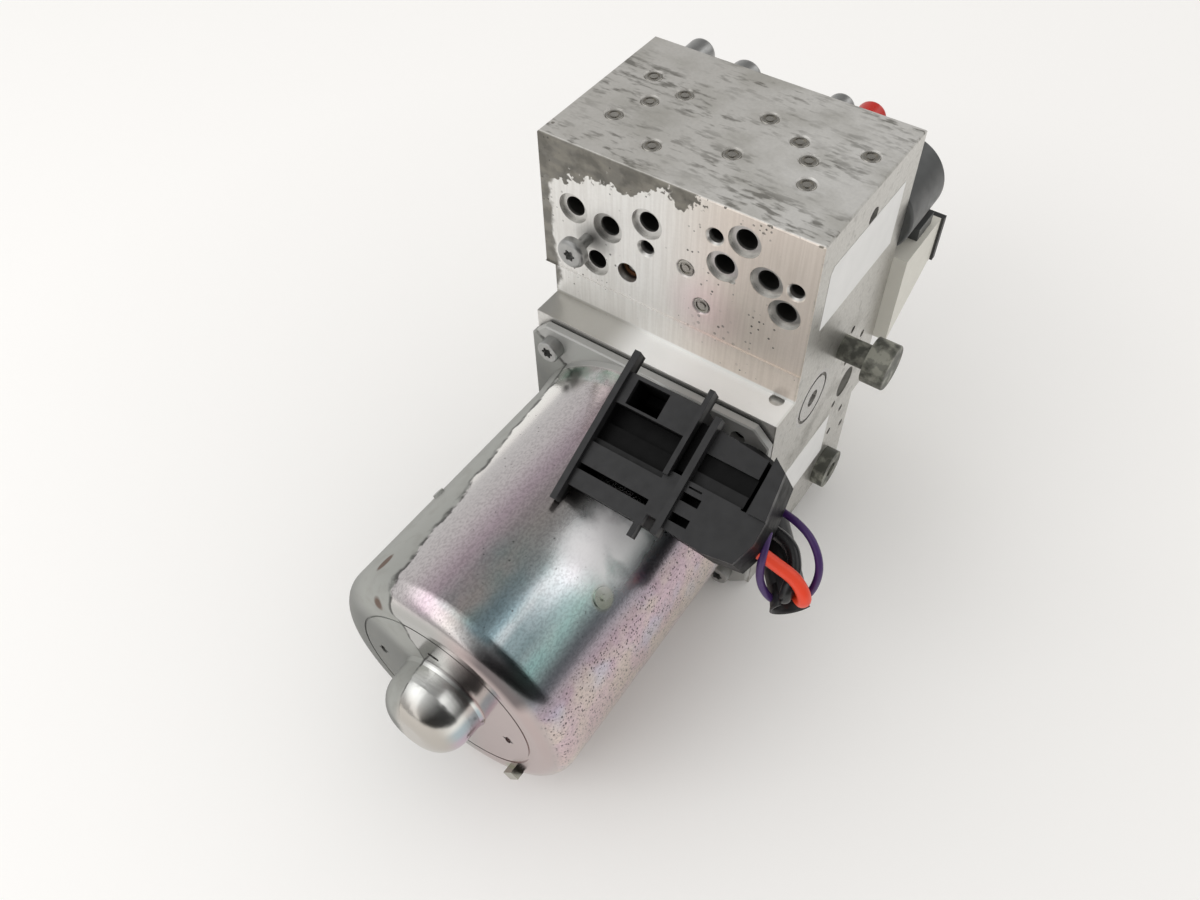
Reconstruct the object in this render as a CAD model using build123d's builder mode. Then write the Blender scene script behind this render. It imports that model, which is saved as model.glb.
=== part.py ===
from build123d import *
import math
import os

os.makedirs("parts", exist_ok=True)

# ------------------------------------------------------------------ driving sizes, mm
# X runs across the unit, Y from the motor towards the coils, Z up. Z = 0 is the plane it
# stands on and X = 0 is the motor axis.
block_left = -52.15
block_right = 47.85
lower_left = -47.85
block_front = -33.5
block_back = 33.3
block_top = 158.5
block_bottom = 9.0
left_step_z = 106.4
band_z = 106.5
band_proud = 0.6
ledge_z = 94.2
motor_face = -45.8
back_step_z = 45.5
back_step_y = 25.5
foot_back = -24.0
edge_break = 0.5

port_counterbore_d = 11.2
port_counterbore_depth = 1.5
port_bore_d = 7.2
port_bore_depth = 9.0
port_drill_d = 4.0
port_drill_depth = 24.0
ports = [
    (-39.35, 133.9), (-25.75, 131.9), (-10.85, 140.2), (-31.15, 115.5),
    (23.05, 148.9), (16.6, 136.5), (31.65, 137.5), (38.85, 128.3),
]
thread_d = 5.0
thread_chamfer_d = 6.7
thread_depth = 11.0
threads = [(-10.95, 130.5), (13.15, 146.3), (41.35, 138.6)]
side_port = (-18.05, 117.0)
side_port_d = 7.6
side_port_depth = 8.0
nick = (20.3, 132.6)
nick_r = 1.3
nick_depth = 1.2
top_pit = (-50.3, -27.7)
top_pit_r = 0.6
top_pit_depth = 0.8
port_ball_r = 2.6
port_ball_length = 5.0
port_ring_length = 4.4
earth_at = (-33.75, 124.2)
earth_thread_r = 2.0
earth_hole_depth = 9.0
earth_head_r = 5.3
earth_head_h = 3.4
earth_head_round = 1.6
earth_stand = 7.2
earth_socket_r = 2.2
earth_socket_depth = 1.8

plug_d = 6.0
plug_mouth_d = 7.0
plug_seat_depth = 5.0
plug_height = 4.8
plug_drill_d = 3.0
plug_drill_depth = 16.0
plug_crown_round = 0.5
plug_ring = (2.1, 1.3)
plug_ring_depth = 0.5
front_plugs = [(3.85, 129.5), (10.45, 117.0)]
top_plugs = [
    (-38.75, 12.1), (-24.35, 8.4), (-31.85, -0.7), (-37.05, -13.1), (-18.15, -20.3), (4.75, 12.0),
    (4.35, -10.5), (18.25, 6.3), (25.05, -0.6), (29.95, -11.2), (39.45, 11.5),
]

# motor, on an axis along Y
axis_z = 46.2
gasket_t = 0.8
flange_t = 3.0
flange_half_w = 47.9
flange_half_h = axis_z
flange_corner = 6.0
can_r = 45.0
can_wall = 2.0
can_blend_r = can_r + 1.1
can_bead_r = can_r + 0.7
can_bead = 2.5
can_bead_end = 9.0
can_end = -161.0
can_shoulder = 8.5
nose_root_r = 16.0
nose_step = 1.5
nose_step_r = 15.4
nose_tip_r = 14.8
nose_round = 10.0
nose_end = can_end - 17.0
nose_seat_back = 6.5
end_groove_r = 33.3
end_groove_w = 0.7
end_groove_depth = 0.5
stakes = [(-26.5, -1.0), (-0.9, 21.9), (24.6, -4.9)]
stake_size = (4.4, 1.8)
stake_depth = 0.7
side_boss_y = -120.0
side_boss_angle = 46.0
side_boss_r = 3.7
side_boss_h = 0.5
side_boss_pip_r = 1.5
side_boss_pip_h = 1.2
left_boss_y = -117.0
left_boss_angle = -52.0
left_boss_r = 2.4
left_boss_h = 0.9
end_tab_at = (24.8, 16.9)
end_tab_size = (6.5, 3.4)
end_tab_turn = 55.0
end_tab_out = 2.4
boss_root = 1.0
screw_dx = 38.0
screw_dz = 39.0
screw_head_d = 8.5
screw_head_h = 4.6
screw_d = 5.0
screw_length = 14.0
screw_end_gap = 1.0
screw_clearance = 0.3
screw_head_round = 0.5
screw_socket_r = 2.3
screw_socket_depth = 2.6
empty_corner = (36.6, 85.0)
gasket_r = can_r - 5.0
gasket_inset = 0.4

shaft_r = 4.0
shaft_play = 0.05
chamber_r = 15.0
chamber_end = -11.5
tail_seat_r = 6.0
tail_seat_depth = 8.0
tail_bush_length = 7.0
throw = 1.0
eccentric_r = 7.0
eccentric_length = 16.0
cam_ring_r = 10.0
cam_ring_length = 12.0
pump_y = -21.5
piston_r = 4.0
piston_length = 18.0
piston_play = 0.05
piston_drill_r = 1.2
piston_drill_depth = 8.0
pump_bore_r = 6.5
pump_spring_turns = 4
pump_spring_r = 2.8
pump_wire_r = 0.45
pump_window_x = 10.5
pump_seat_x = 17.0
pump_plug_x = 39.5
piston_foot_x = cam_ring_r + 3 * throw + piston_play

# low-pressure accumulators, on an axis along X
acc_y = -18.2
acc_z = 82.4
acc_r = 10.0
acc_floor_x = 10.0
acc_play = 0.07
acc_travel = 7.5
acc_piston_x = acc_floor_x + acc_travel + 0.1
acc_piston_length = 16.0
acc_crown_t = 3.0
acc_piston_wall = 1.6
acc_groove_x = 1.0
acc_groove_w = 1.4
acc_groove_depth = 1.2
acc_spring_turns = 5
acc_spring_r = 6.6
acc_wire_r = 0.8
spring_gap = 0.1
acc_plug_r = 11.25
acc_plug_t = 3.0
acc_plug_groove = (9.85, 8.65)
acc_plug_socket_r = 3.25
acc_plug_relief = 1.2
acc_plug_inner_x = 41.0

# valves, on axes along Y at the back
valve_columns = [-40.0, -19.0, 2.0, 23.0]
valve_rows = [96.0, 74.0]
valves = [(x, z) for z in valve_rows for x in valve_columns]
valve_body_r = 6.0
valve_body_depth = 10.0
valve_nose_r = 3.4
valve_nose_depth = 8.0
valve_flange_r = 7.0
valve_flange_t = 1.5
valve_inlet_r = 0.9
valve_drill_r = 1.5
valve_drill_depth = 8.0
gallery_past_nose = 6.0
gallery_r = 1.6
gallery_past_column = 2.0
sleeve_r = 4.2
sleeve_bore_r = 3.4
sleeve_end = 54.5
sleeve_cap_t = 0.9
sleeve_round = 0.8
plunger_r = 3.32
plunger_start = 39.0
plunger_end = 53.3
plunger_edge = 0.3
sleeve_bore_start = 38.0

housing_wall = 1.6
housing_right = 38.0
housing_bottom = 60.0
housing_back = 62.0
housing_corner = 3.0
housing_inner_corner = 1.5
floor_t = 2.2
wing_right = 53.0
wing_overlap = 3.0
wing_front_z = 70.0
wing_z = 89.0
wing_back_step = 2.0
cover_overlap = 1.0
shroud_x = 35.5
shroud_z = 122.0
shroud_r = 15.7
shroud_wall = 2.0
shroud_back = 60.0
shroud_floor = 3.0
shroud_round = 1.0
shroud_latch = (49.0, 110.5)
shroud_latch_bar = (46.5, 110.5)
shroud_latch_length = 12.0
pin_pitch = 5.0
pin_w = 1.6
pin_t = 0.8
pin_length = 14.0
cover_t = 2.5
cover_gap = 0.3
post_r = 1.6
post_inset = 3.6
board_y = 56.5
board_t = 1.6
board_play = 0.5
chip_w = 13.0
chip_t = 1.8
chips = [(-30.0, 84.0), (-4.0, 88.0), (20.0, 80.0)]
small_chip = (7.0, 4.0)
small_chips = [(-16.0, 72.0), (6.0, 71.0)]

coil_r = 8.6
coil_inner_r = 4.9
bobbin_flange_r = 8.9
bobbin_flange_t = 1.0
bobbin_gap = 0.1
yoke_hole_gap = 0.2
yoke_r = 10.2
yoke_wall = 1.1
coil_back = 53.0
yoke_gap = 0.2
housing_left = min(valve_columns) - yoke_r - yoke_gap - housing_wall
housing_top = max(valve_rows) + yoke_r + yoke_gap + housing_wall

dome_z = 146.7
# place across, radius and outer end of each dome
domes = [(-43.0, 5.5, 52.1), (-22.1, 6.1, 47.8), (13.7, 5.0, 49.1)]
dome_depth = 8.0
dome_round = 2.6
red_cap_x = 24.3
red_cap_end = 49.3
red_cap_r = 5.2
red_cap_round = 1.6
red_cap_end_t = 2.0
nipple_r = 2.8

# side features
stud_at = (0.7, 91.5)
stud_neck_r = 4.5
stud_neck_x = 58.3
stud_head_r = 8.2
stud_end_x = 66.4
stud_round = 0.7
stud_depth = 14.0
stud_end_gap = 1.0
stud_thread_r = 3.5
bush_at = (7.4, 19.0)
bush_r = 8.0
bush_seat_r = 6.0
bush_seat_depth = 6.0
bush_hole_r = 3.2
bush_out = 5.0
side_bush_hole_depth = 9.0
bottom_bush_hole_depth = 12.0
side_bore_at = (13.1, 62.6)
side_bore_d = 12.3
side_bore_depth = 9.0
small_holes = [(7.9, 93.7), (19.4, 82.5), (9.0, 76.7), (6.2, 56.4), (16.0, 45.2), (8.3, 38.8), (21.0, 31.5)]
small_hole_r = 1.5
small_hole_depth = 4.0
top_side_hole = (1.0, 146.7)
top_side_hole_r = 3.0
top_side_hole_depth = 7.0
ledge_pit_x = 42.2
ledge_pit_out = 1.5
ledge_pit_r = 2.6
ledge_pit_depth = 1.2
label_t = 0.12
large_label = [(-25.5, 142.9), (-23.8, 145.0), (24.5, 145.0), (24.5, 120.2), (-25.5, 120.2)]
small_label_at = (-17.0, 42.1)
small_label = (42.0, 21.2)

# electrical bracket over the motor, tilted about X; places on it are across and along its plane
bracket_origin = (6.9, -107.4, axis_z + can_r + 2.4)
bracket_tilt = 28.0
bracket_depth = 44.0
bracket_skin = 9.0
side_part_t = 20.0
lead_block = (35.0, 52.0, 12.0, 40.0)
lead_block_t = 8.0
rib_h = 1.8
rib_root = 4.0
rib_t = 1.7
fin_left = -1.9
fin_right = 0.2
fin_front = -0.6
fin_back = 51.3
rib_left = 25.3
rib_right = rib_left + rib_t
rib_front = 22.0
rib_back = 50.5
divider_left = 30.9
divider_right = 33.1
divider_front = 4.8
divider_back = 44.0
small_fin = (24.6, 26.4, 0.9, 9.2)
hollow = (0.4, 24.2, 8.6, 41.0)
can_gap = 0.5
flange_gap = 1.5
body_front = 5.6
window_frame_back = 45.0
end_plate = [(52.4, 41.3), (56.9, 38.4), (58.8, 23.3), (53.1, 23.2)]
end_plate_h = 1.0
side_part = [
    (26.0, 9.2), (33.0, 9.2), (33.1, 7.8), (46.8, 7.0), (56.2, 8.5), (58.8, 16.1), (58.8, 23.3), (56.9, 38.4),
    (52.4, 41.3), (50.6, 39.8), (34.0, 41.4), (26.0, 41.4),
]
window = (3.4, 14.9, 35.4, 43.8)
long_slot = (0.2, 25.3, 11.2, 13.2)
through_depth = 16.0
# sides of each panel (left, right, front, back) with its depth
panels = [
    ((0.2, 25.3, 28.5, 34.6), 6.5),
    ((0.2, 25.3, 22.4, 28.5), 4.5),
    ((0.2, 25.3, 20.6, 22.4), 2.0),
    ((27.0, 30.9, 25.4, 42.0), 3.5),
    ((27.0, 30.9, 23.9, 25.4), 7.0),
    ((33.1, 52.4, 33.5, 42.0), 1.5),
    ((33.1, 52.4, 27.6, 33.5), 3.0),
    ((33.1, 52.4, 23.8, 27.6), 2.0),
    ((50.6, 52.4, 23.2, 42.0), 7.0),
    ((34.0, 38.4, 21.8, 22.4), 2.0),
    ((33.3, 39.4, 17.5, 20.2), 8.0),
    ((33.3, 39.4, 10.8, 13.5), 8.0),
]

# inside the motor
shield_r = can_r - can_wall - 0.1
shield_t = 4.0
hub_r = 14.0
hub_past_bearing = 1.0
bearing_r = 11.0
bearing_w = 7.0
race_inner_r = 9.2
race_outer_r = 6.0
race_lip = 0.6
ball_r = 1.6
ball_pitch_r = 7.55
ball_count = 9
cage_t = 1.0
cage_offset = 0.8
cage_w = 1.0
nose_bore_r = 11.5
nose_bush_length = 7.0
nose_bush_gap = 0.5
shaft_edge = 0.4
shaft_nose_y = can_end - 9.0
shaft_tail_y = -4.2
magnet_t = 6.7
magnet_inner_r = can_r - can_wall - magnet_t
air_gap = 0.7
magnet_start = -72.0
magnet_end = -138.0
magnet_gap = 12.0
core_r = magnet_inner_r - air_gap
core_start = -76.0
core_end = -132.0
slot_count = 12
slot_root_r = 18.0
slot_length = core_r - slot_root_r - 2.6
slot_pitch_r = slot_root_r + slot_length / 2
slot_w = 6.0
slot_mouth_w = 2.2
slot_mouth_r = core_r - 1.6
end_turn_t = 6.0
end_turn_inner_r = 15.5
end_turn_inset = 2.2
end_turn_round = 1.8
commutator_r = 12.0
commutator_start = -58.0
commutator_end = -69.5
commutator_cut = (2.4, 0.5)
brush_y = -63.0
brush_w = 8.0
brush_h = 7.0
brush_spring_turns = 5
brush_spring_r = 2.6
brush_wire_r = 0.4
brush_start_x = commutator_r + 0.1
brush_end_x = 24.0
holder_start_x = 14.0
holder_wall = 2.0
holder_outer_x = shield_r - 4.9
holder_cut_end_x = holder_outer_x - holder_wall
card_t = 3.0
card_play = 1.0
card_hole_gap = 0.4

# leads
sheath_r = 5.8
sheath_bore_r = 5.0
power_r = 2.2
signal_r = 1.25
grommet_r = 7.6
grommet_out = 6.0
grommet_gap = 0.1
sheath_points = [(44.0, -49.6, 77.0), (62.0, -68.5, 74.0), (76.38, -83.49, 69.18)]
power_place = (2.3, 0.9)
signal_place = (1.7, -3.1)
red_past = 5.5
red_points = [(84.0, -88.0, 75.0), (79.5, -85.6, 81.5), (71.5, -84.6, 84.0), (64.4, -85.6, 87.5)]
black_past = 5.2
black_points = [(77.4, -89.6, 75.5), (75.5, -80.0, 78.5), (69.5, -72.2, 82.5), (58.9, -73.6, 82.6)]
violet_a_past = 5.0
violet_a_points = [(74.2, -94.0, 69.2), (69.0, -92.5, 78.5), (68.8, -88.0, 90.5), (64.8, -80.5, 91.5)]
violet_b_past = 5.2
violet_b_points = [(85.6, -79.8, 68.0), (83.5, -74.5, 80.0), (71.0, -68.4, 88.0), (58.9, -67.3, 85.5)]

# ------------------------------------------------------------------ planes
front_plane = Plane.XZ.offset(-block_front)
motor_plane = Plane.XZ.offset(-motor_face)
top_plane = Plane.XY.offset(block_top)
right_plane = Plane.YZ.offset(block_right)
flange_back = motor_face - gasket_t
flange_front = flange_back - flange_t
plug_floor_z = block_top - plug_seat_depth
wall_x = max(block_right, -lower_left)
gallery_y = block_back - valve_body_depth - valve_nose_depth - gallery_past_nose
screw_corners = [
    (-screw_dx, axis_z + screw_dz), (-screw_dx, axis_z - screw_dz), (screw_dx, axis_z - screw_dz),
]


def y_plane(y):
    """Sketch plane across Y at the given height, its normal towards the motor."""
    return Plane.XZ.offset(-y)


def star(size):
    """Six-lobed socket outline with the given outer radius."""
    Circle(0.74 * size)
    with PolarLocations(0.74 * size, 6):
        Circle(0.26 * size)


def x_plane(x):
    """Sketch plane across X at the given place, its normal towards +X."""
    return Plane.YZ.offset(x)


def save(part, label):
    part.part.label = label
    export_step(part.part, f"parts/{label}.step")
    print(label, len(part.part.solids()), round(part.part.volume, 1))


def save_pair(part, label):
    """Write the piece and its mirror image in X as one node of two solids."""
    pair = Compound(label=label, children=[part.part, mirror(part.part, about=Plane.YZ)])
    export_step(pair, f"parts/{label}.step")
    print(label, len(pair.solids()), round(sum(piece.volume for piece in pair.solids()), 1))


# ------------------------------------------------------------------ hydraulic block
with BuildPart() as valve_block:
    with BuildSketch(x_plane(block_left)):
        with BuildLine():
            Polyline(
                (block_front, block_top), (block_front, band_z), (block_front - band_proud, band_z),
                (block_front - band_proud, ledge_z), (motor_face, ledge_z), (motor_face, 0),
                (foot_back, 0), (foot_back, block_bottom), (back_step_y, block_bottom),
                (back_step_y, back_step_z), (block_back, back_step_z), (block_back, block_top),
                close=True,
            )
        make_face()
    extrude(amount=block_right - block_left)
    with BuildSketch(x_plane(block_left)):
        with Locations((0, left_step_z / 2)):
            Rectangle(4 * block_back, left_step_z)
    extrude(amount=lower_left - block_left, mode=Mode.SUBTRACT)
    chamfer(valve_block.edges().group_by(Axis.Z)[-1], edge_break)
    # ports, threads and plugs of the front face
    with Locations(front_plane):
        with Locations(*ports):
            CounterBoreHole(port_bore_d / 2, port_counterbore_d / 2, port_counterbore_depth, port_bore_depth)
        with Locations(*ports):
            Hole(port_drill_d / 2, port_drill_depth)
        with Locations(*threads):
            Hole(thread_d / 2, thread_depth)
        with Locations(side_port):
            Hole(side_port_d / 2, side_port_depth)
        with Locations(*front_plugs):
            Hole(plug_d / 2, plug_seat_depth)
        with Locations(*front_plugs):
            Hole(plug_drill_d / 2, plug_drill_depth)
        with Locations(earth_at):
            Hole(earth_thread_r, earth_hole_depth)
        with Locations(nick):
            Hole(nick_r, nick_depth)
    with BuildSketch(front_plane):
        with Locations(*threads):
            Circle(thread_chamfer_d / 2)
    extrude(amount=-(thread_chamfer_d - thread_d) / 2, taper=45, mode=Mode.SUBTRACT)
    with BuildSketch(front_plane):
        with Locations(*front_plugs):
            Circle(plug_mouth_d / 2)
    extrude(amount=-(plug_mouth_d - plug_d) / 2, taper=45, mode=Mode.SUBTRACT)
    # plugs of the top face
    with Locations(top_plane):
        with Locations(*top_plugs):
            Hole(plug_d / 2, plug_seat_depth)
        with Locations(*top_plugs):
            Hole(plug_drill_d / 2, plug_drill_depth)
        with Locations(top_pit):
            Hole(top_pit_r, top_pit_depth)
    with BuildSketch(top_plane):
        with Locations(*top_plugs):
            Circle(plug_mouth_d / 2)
    extrude(amount=-(plug_mouth_d - plug_d) / 2, taper=45, mode=Mode.SUBTRACT)
    # motor side: eccentric chamber, tail bearing seat and screw threads
    with Locations(motor_plane):
        with Locations((0, axis_z)):
            CounterBoreHole(
                tail_seat_r, chamber_r, chamber_end - motor_face, chamber_end - motor_face + tail_seat_depth,
            )
        with Locations(*screw_corners, empty_corner):
            Hole(screw_d / 2, screw_length)
    # pump bore and accumulator bores, from both sides
    for side in (-1, 1):
        with BuildSketch(x_plane(side * pump_window_x)):
            with Locations((pump_y, axis_z)):
                Circle(piston_r + 2 * piston_play)
        extrude(amount=side * (pump_seat_x - pump_window_x), mode=Mode.SUBTRACT)
        with BuildSketch(x_plane(side * pump_seat_x)):
            with Locations((pump_y, axis_z)):
                Circle(pump_bore_r)
        extrude(amount=side * (wall_x - pump_seat_x), mode=Mode.SUBTRACT)
        with BuildSketch(x_plane(side * acc_floor_x)):
            with Locations((acc_y, acc_z)):
                Circle(acc_r)
        extrude(amount=side * (wall_x - acc_floor_x), mode=Mode.SUBTRACT)
        with BuildSketch(x_plane(side * (wall_x - acc_plug_t))):
            with Locations((acc_y, acc_z)):
                Circle(acc_plug_r)
        extrude(amount=side * acc_plug_t, mode=Mode.SUBTRACT)
    # valve bores at the back, with the drilling that joins each to a gallery
    with BuildSketch(y_plane(block_back)):
        with Locations(*valves):
            Circle(valve_body_r)
    extrude(amount=valve_body_depth, mode=Mode.SUBTRACT)
    with BuildSketch(y_plane(block_back - valve_body_depth)):
        with Locations(*valves):
            Circle(valve_nose_r)
    extrude(amount=valve_nose_depth, mode=Mode.SUBTRACT)
    with BuildSketch(y_plane(block_back - valve_body_depth - valve_nose_depth)):
        with Locations(*valves):
            Circle(valve_drill_r)
    extrude(amount=valve_drill_depth, mode=Mode.SUBTRACT)
    for row in valve_rows:
        with BuildSketch(x_plane(lower_left)):
            with Locations((gallery_y, row)):
                Circle(gallery_r)
        extrude(amount=valve_columns[-1] - lower_left + gallery_past_column, mode=Mode.SUBTRACT)
        with BuildSketch(x_plane(lower_left)):
            with Locations((gallery_y, row)):
                Circle(plug_d / 2)
        extrude(amount=plug_seat_depth, mode=Mode.SUBTRACT)
    for x, r, end in domes:
        with BuildSketch(y_plane(block_back)):
            with Locations((x, dome_z)):
                Circle(r)
        extrude(amount=dome_depth, mode=Mode.SUBTRACT)
    with BuildSketch(y_plane(block_back)):
        with Locations((red_cap_x, dome_z)):
            Circle(nipple_r)
    extrude(amount=dome_depth, mode=Mode.SUBTRACT)
    # right face
    with Locations(right_plane):
        with Locations(top_side_hole):
            Hole(top_side_hole_r, top_side_hole_depth)
        with Locations(side_bore_at):
            Hole(side_bore_d / 2, side_bore_depth)
        with Locations(*small_holes):
            Hole(small_hole_r, small_hole_depth)
        with Locations(stud_at):
            Hole(stud_thread_r, stud_depth)
        with Locations(bush_at):
            Hole(bush_seat_r, bush_seat_depth)
    # ledge dimple and the seat of the bottom bush
    with BuildSketch(Plane.XY.offset(ledge_z)):
        with Locations((ledge_pit_x, block_front - band_proud - ledge_pit_out)):
            Circle(ledge_pit_r)
    extrude(amount=-ledge_pit_depth, mode=Mode.SUBTRACT)
    with BuildSketch(Plane.XY.offset(block_bottom)):
        with Locations((0, bush_at[0])):
            Circle(bush_seat_r)
    extrude(amount=bush_seat_depth, mode=Mode.SUBTRACT)
save(valve_block, "valve_block")

# ------------------------------------------------------------------ plugs in the block
with BuildPart() as ball_plugs:
    with BuildSketch(Plane.XY.offset(plug_floor_z)):
        with Locations(*top_plugs):
            Circle(plug_d / 2)
    extrude(amount=plug_height)
    with BuildSketch(y_plane(block_front + plug_seat_depth)):
        with Locations(*front_plugs):
            Circle(plug_d / 2)
    extrude(amount=plug_height)
    for row in valve_rows:
        with BuildSketch(x_plane(lower_left + plug_seat_depth)):
            with Locations((gallery_y, row)):
                Circle(plug_d / 2)
        extrude(amount=-plug_height)
    crowns = ball_plugs.edges().filter_by(GeomType.CIRCLE)
    outer = [e for e in crowns if abs(e.center().Z - plug_floor_z - plug_height) < 0.01]
    outer += [e for e in crowns if abs(e.center().Y - block_front - plug_seat_depth + plug_height) < 0.01]
    fillet(outer, plug_crown_round)
    for crown, places in (
        (Plane.XY.offset(plug_floor_z + plug_height), top_plugs),
        (y_plane(block_front + plug_seat_depth - plug_height), front_plugs),
    ):
        with BuildSketch(crown):
            with Locations(*places):
                Circle(plug_ring[0])
                Circle(plug_ring[1], mode=Mode.SUBTRACT)
        extrude(amount=-plug_ring_depth, mode=Mode.SUBTRACT)
save(ball_plugs, "ball_plugs")

with BuildPart() as port_ball:
    with BuildSketch(y_plane(block_front + side_port_depth)):
        with Locations(side_port):
            Circle(port_ball_r)
    extrude(amount=port_ball_length)
    fillet(port_ball.edges().sort_by(Axis.Y)[0], 0.9 * port_ball_r)
save(port_ball, "port_ball")

with BuildPart() as port_ring:
    with BuildSketch(y_plane(block_front + side_port_depth)):
        with Locations(side_port):
            Circle(side_port_d / 2)
            Circle(port_ball_r, mode=Mode.SUBTRACT)
    extrude(amount=port_ring_length)
save(port_ring, "port_ring")

with BuildPart() as earth_screw:
    with BuildSketch(y_plane(block_front + earth_hole_depth - screw_end_gap)):
        with Locations(earth_at):
            Circle(earth_thread_r)
    extrude(amount=earth_hole_depth - screw_end_gap + earth_stand)
    with BuildSketch(y_plane(block_front - earth_stand)):
        with Locations(earth_at):
            Circle(earth_head_r)
    extrude(amount=earth_head_h)
    fillet(earth_screw.edges().filter_by(GeomType.CIRCLE).sort_by(Axis.Y)[0], earth_head_round)
    with BuildSketch(y_plane(block_front - earth_stand - earth_head_h)):
        with Locations(earth_at):
            star(earth_socket_r)
    extrude(amount=-earth_socket_depth, mode=Mode.SUBTRACT)
save(earth_screw, "earth_screw")

with BuildPart() as blank_labels:
    with BuildSketch(right_plane):
        with BuildLine():
            Polyline(*large_label, close=True)
        make_face()
    extrude(amount=label_t)
    with BuildSketch(right_plane):
        with Locations(small_label_at):
            Rectangle(*small_label)
    extrude(amount=label_t)
save(blank_labels, "blank_labels")

# ------------------------------------------------------------------ mounting pieces
with BuildPart() as mount_stud:
    with BuildSketch(x_plane(block_right - stud_depth + stud_end_gap)):
        with Locations(stud_at):
            Circle(stud_thread_r)
    extrude(amount=stud_depth - stud_end_gap)
    with BuildSketch(right_plane):
        with Locations(stud_at):
            Circle(stud_neck_r)
    extrude(amount=stud_neck_x - block_right)
    with BuildSketch(x_plane(stud_neck_x)):
        with Locations(stud_at):
            Circle(stud_head_r)
    extrude(amount=stud_end_x - stud_neck_x)
    fillet(mount_stud.edges().filter_by(GeomType.CIRCLE).sort_by(Axis.X)[-1], stud_round)
save(mount_stud, "mount_stud")

with BuildPart() as mount_bushes:
    with BuildSketch(x_plane(block_right - bush_seat_depth)):
        with Locations(bush_at):
            Circle(bush_seat_r)
    extrude(amount=bush_seat_depth)
    with BuildSketch(right_plane):
        with Locations(bush_at):
            Circle(bush_r)
    extrude(amount=bush_out)
    with BuildSketch(x_plane(block_right + bush_out)):
        with Locations(bush_at):
            Circle(bush_hole_r)
    extrude(amount=-side_bush_hole_depth, mode=Mode.SUBTRACT)
    with BuildSketch(Plane.XY.offset(block_bottom + bush_seat_depth)):
        with Locations((0, bush_at[0])):
            Circle(bush_seat_r)
    extrude(amount=-bush_seat_depth)
    with BuildSketch(Plane.XY.offset(block_bottom)):
        with Locations((0, bush_at[0])):
            Circle(bush_r)
    extrude(amount=-block_bottom)
    with BuildSketch(Plane.XY):
        with Locations((0, bush_at[0])):
            Circle(bush_hole_r)
    extrude(amount=bottom_bush_hole_depth, mode=Mode.SUBTRACT)
save(mount_bushes, "mount_bushes")

# ------------------------------------------------------------------ accumulators and pump
with BuildPart() as accumulator_plugs:
    for side in (-1, 1):
        with BuildSketch(x_plane(side * block_right)):
            with Locations((acc_y, acc_z)):
                Circle(acc_plug_r)
        extrude(amount=-side * acc_plug_t)
        with BuildSketch(x_plane(side * (block_right - acc_plug_t))):
            with Locations((acc_y, acc_z)):
                Circle(acc_r)
        extrude(amount=-side * (block_right - acc_plug_t - acc_plug_inner_x))
        with BuildSketch(x_plane(side * block_right)):
            with Locations((acc_y, acc_z)):
                Circle(acc_plug_groove[0])
                Circle(acc_plug_groove[1], mode=Mode.SUBTRACT)
                Circle(acc_plug_socket_r)
        extrude(amount=-side * acc_plug_relief, mode=Mode.SUBTRACT)
save(accumulator_plugs, "accumulator_plugs")

for side, name in ((-1, "accumulator_piston_left"), (1, "accumulator_piston_right")):
    with BuildPart() as accumulator_piston:
        with BuildSketch(x_plane(side * acc_piston_x)):
            with Locations((acc_y, acc_z)):
                Circle(acc_r - acc_play)
        extrude(amount=side * acc_piston_length)
        with BuildSketch(x_plane(side * (acc_piston_x + acc_crown_t))):
            with Locations((acc_y, acc_z)):
                Circle(acc_r - acc_piston_wall)
        extrude(amount=side * (acc_piston_length - acc_crown_t), mode=Mode.SUBTRACT)
        with BuildSketch(x_plane(side * (acc_piston_x + acc_groove_x))):
            with Locations((acc_y, acc_z)):
                Circle(acc_r)
                Circle(acc_r - acc_groove_depth, mode=Mode.SUBTRACT)
        extrude(amount=side * acc_groove_w, mode=Mode.SUBTRACT)
    save(accumulator_piston, name)

spring_start = acc_piston_x + acc_crown_t + spring_gap
spring_length = acc_plug_inner_x - spring_start
with BuildPart() as accumulator_spring:
    with BuildLine() as coil:
        Helix(
            spring_length / acc_spring_turns, spring_length, acc_spring_r,
            center=(spring_start, acc_y, acc_z), direction=(1, 0, 0),
        )
    with BuildSketch(Plane(coil.line @ 0, z_dir=coil.line % 0)):
        Circle(acc_wire_r)
    sweep(path=coil.line, is_frenet=True)
    split(bisect_by=x_plane(spring_start), keep=Keep.TOP)
    split(bisect_by=x_plane(acc_plug_inner_x), keep=Keep.BOTTOM)
save_pair(accumulator_spring, "accumulator_springs")

with BuildPart() as pump_sleeves:
    for side in (-1, 1):
        with BuildSketch(x_plane(side * pump_seat_x)):
            with Locations((pump_y, axis_z)):
                Circle(pump_bore_r)
                Circle(piston_r + piston_play, mode=Mode.SUBTRACT)
        extrude(amount=side * (pump_plug_x - pump_seat_x))
save(pump_sleeves, "pump_sleeves")

with BuildPart() as pump_plugs:
    for side in (-1, 1):
        with BuildSketch(x_plane(side * pump_plug_x)):
            with Locations((pump_y, axis_z)):
                Circle(pump_bore_r)
        extrude(amount=side * (block_right - pump_plug_x))
save(pump_plugs, "pump_plugs")

for side, name in ((-1, "pump_piston_left"), (1, "pump_piston_right")):
    with BuildPart() as pump_piston:
        with BuildSketch(x_plane(side * piston_foot_x)):
            with Locations((pump_y, axis_z)):
                Circle(piston_r)
        extrude(amount=side * piston_length)
        with BuildSketch(x_plane(side * (piston_foot_x + piston_length))):
            with Locations((pump_y, axis_z)):
                Circle(piston_drill_r)
        extrude(amount=-side * piston_drill_depth, mode=Mode.SUBTRACT)
    save(pump_piston, name)

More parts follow.
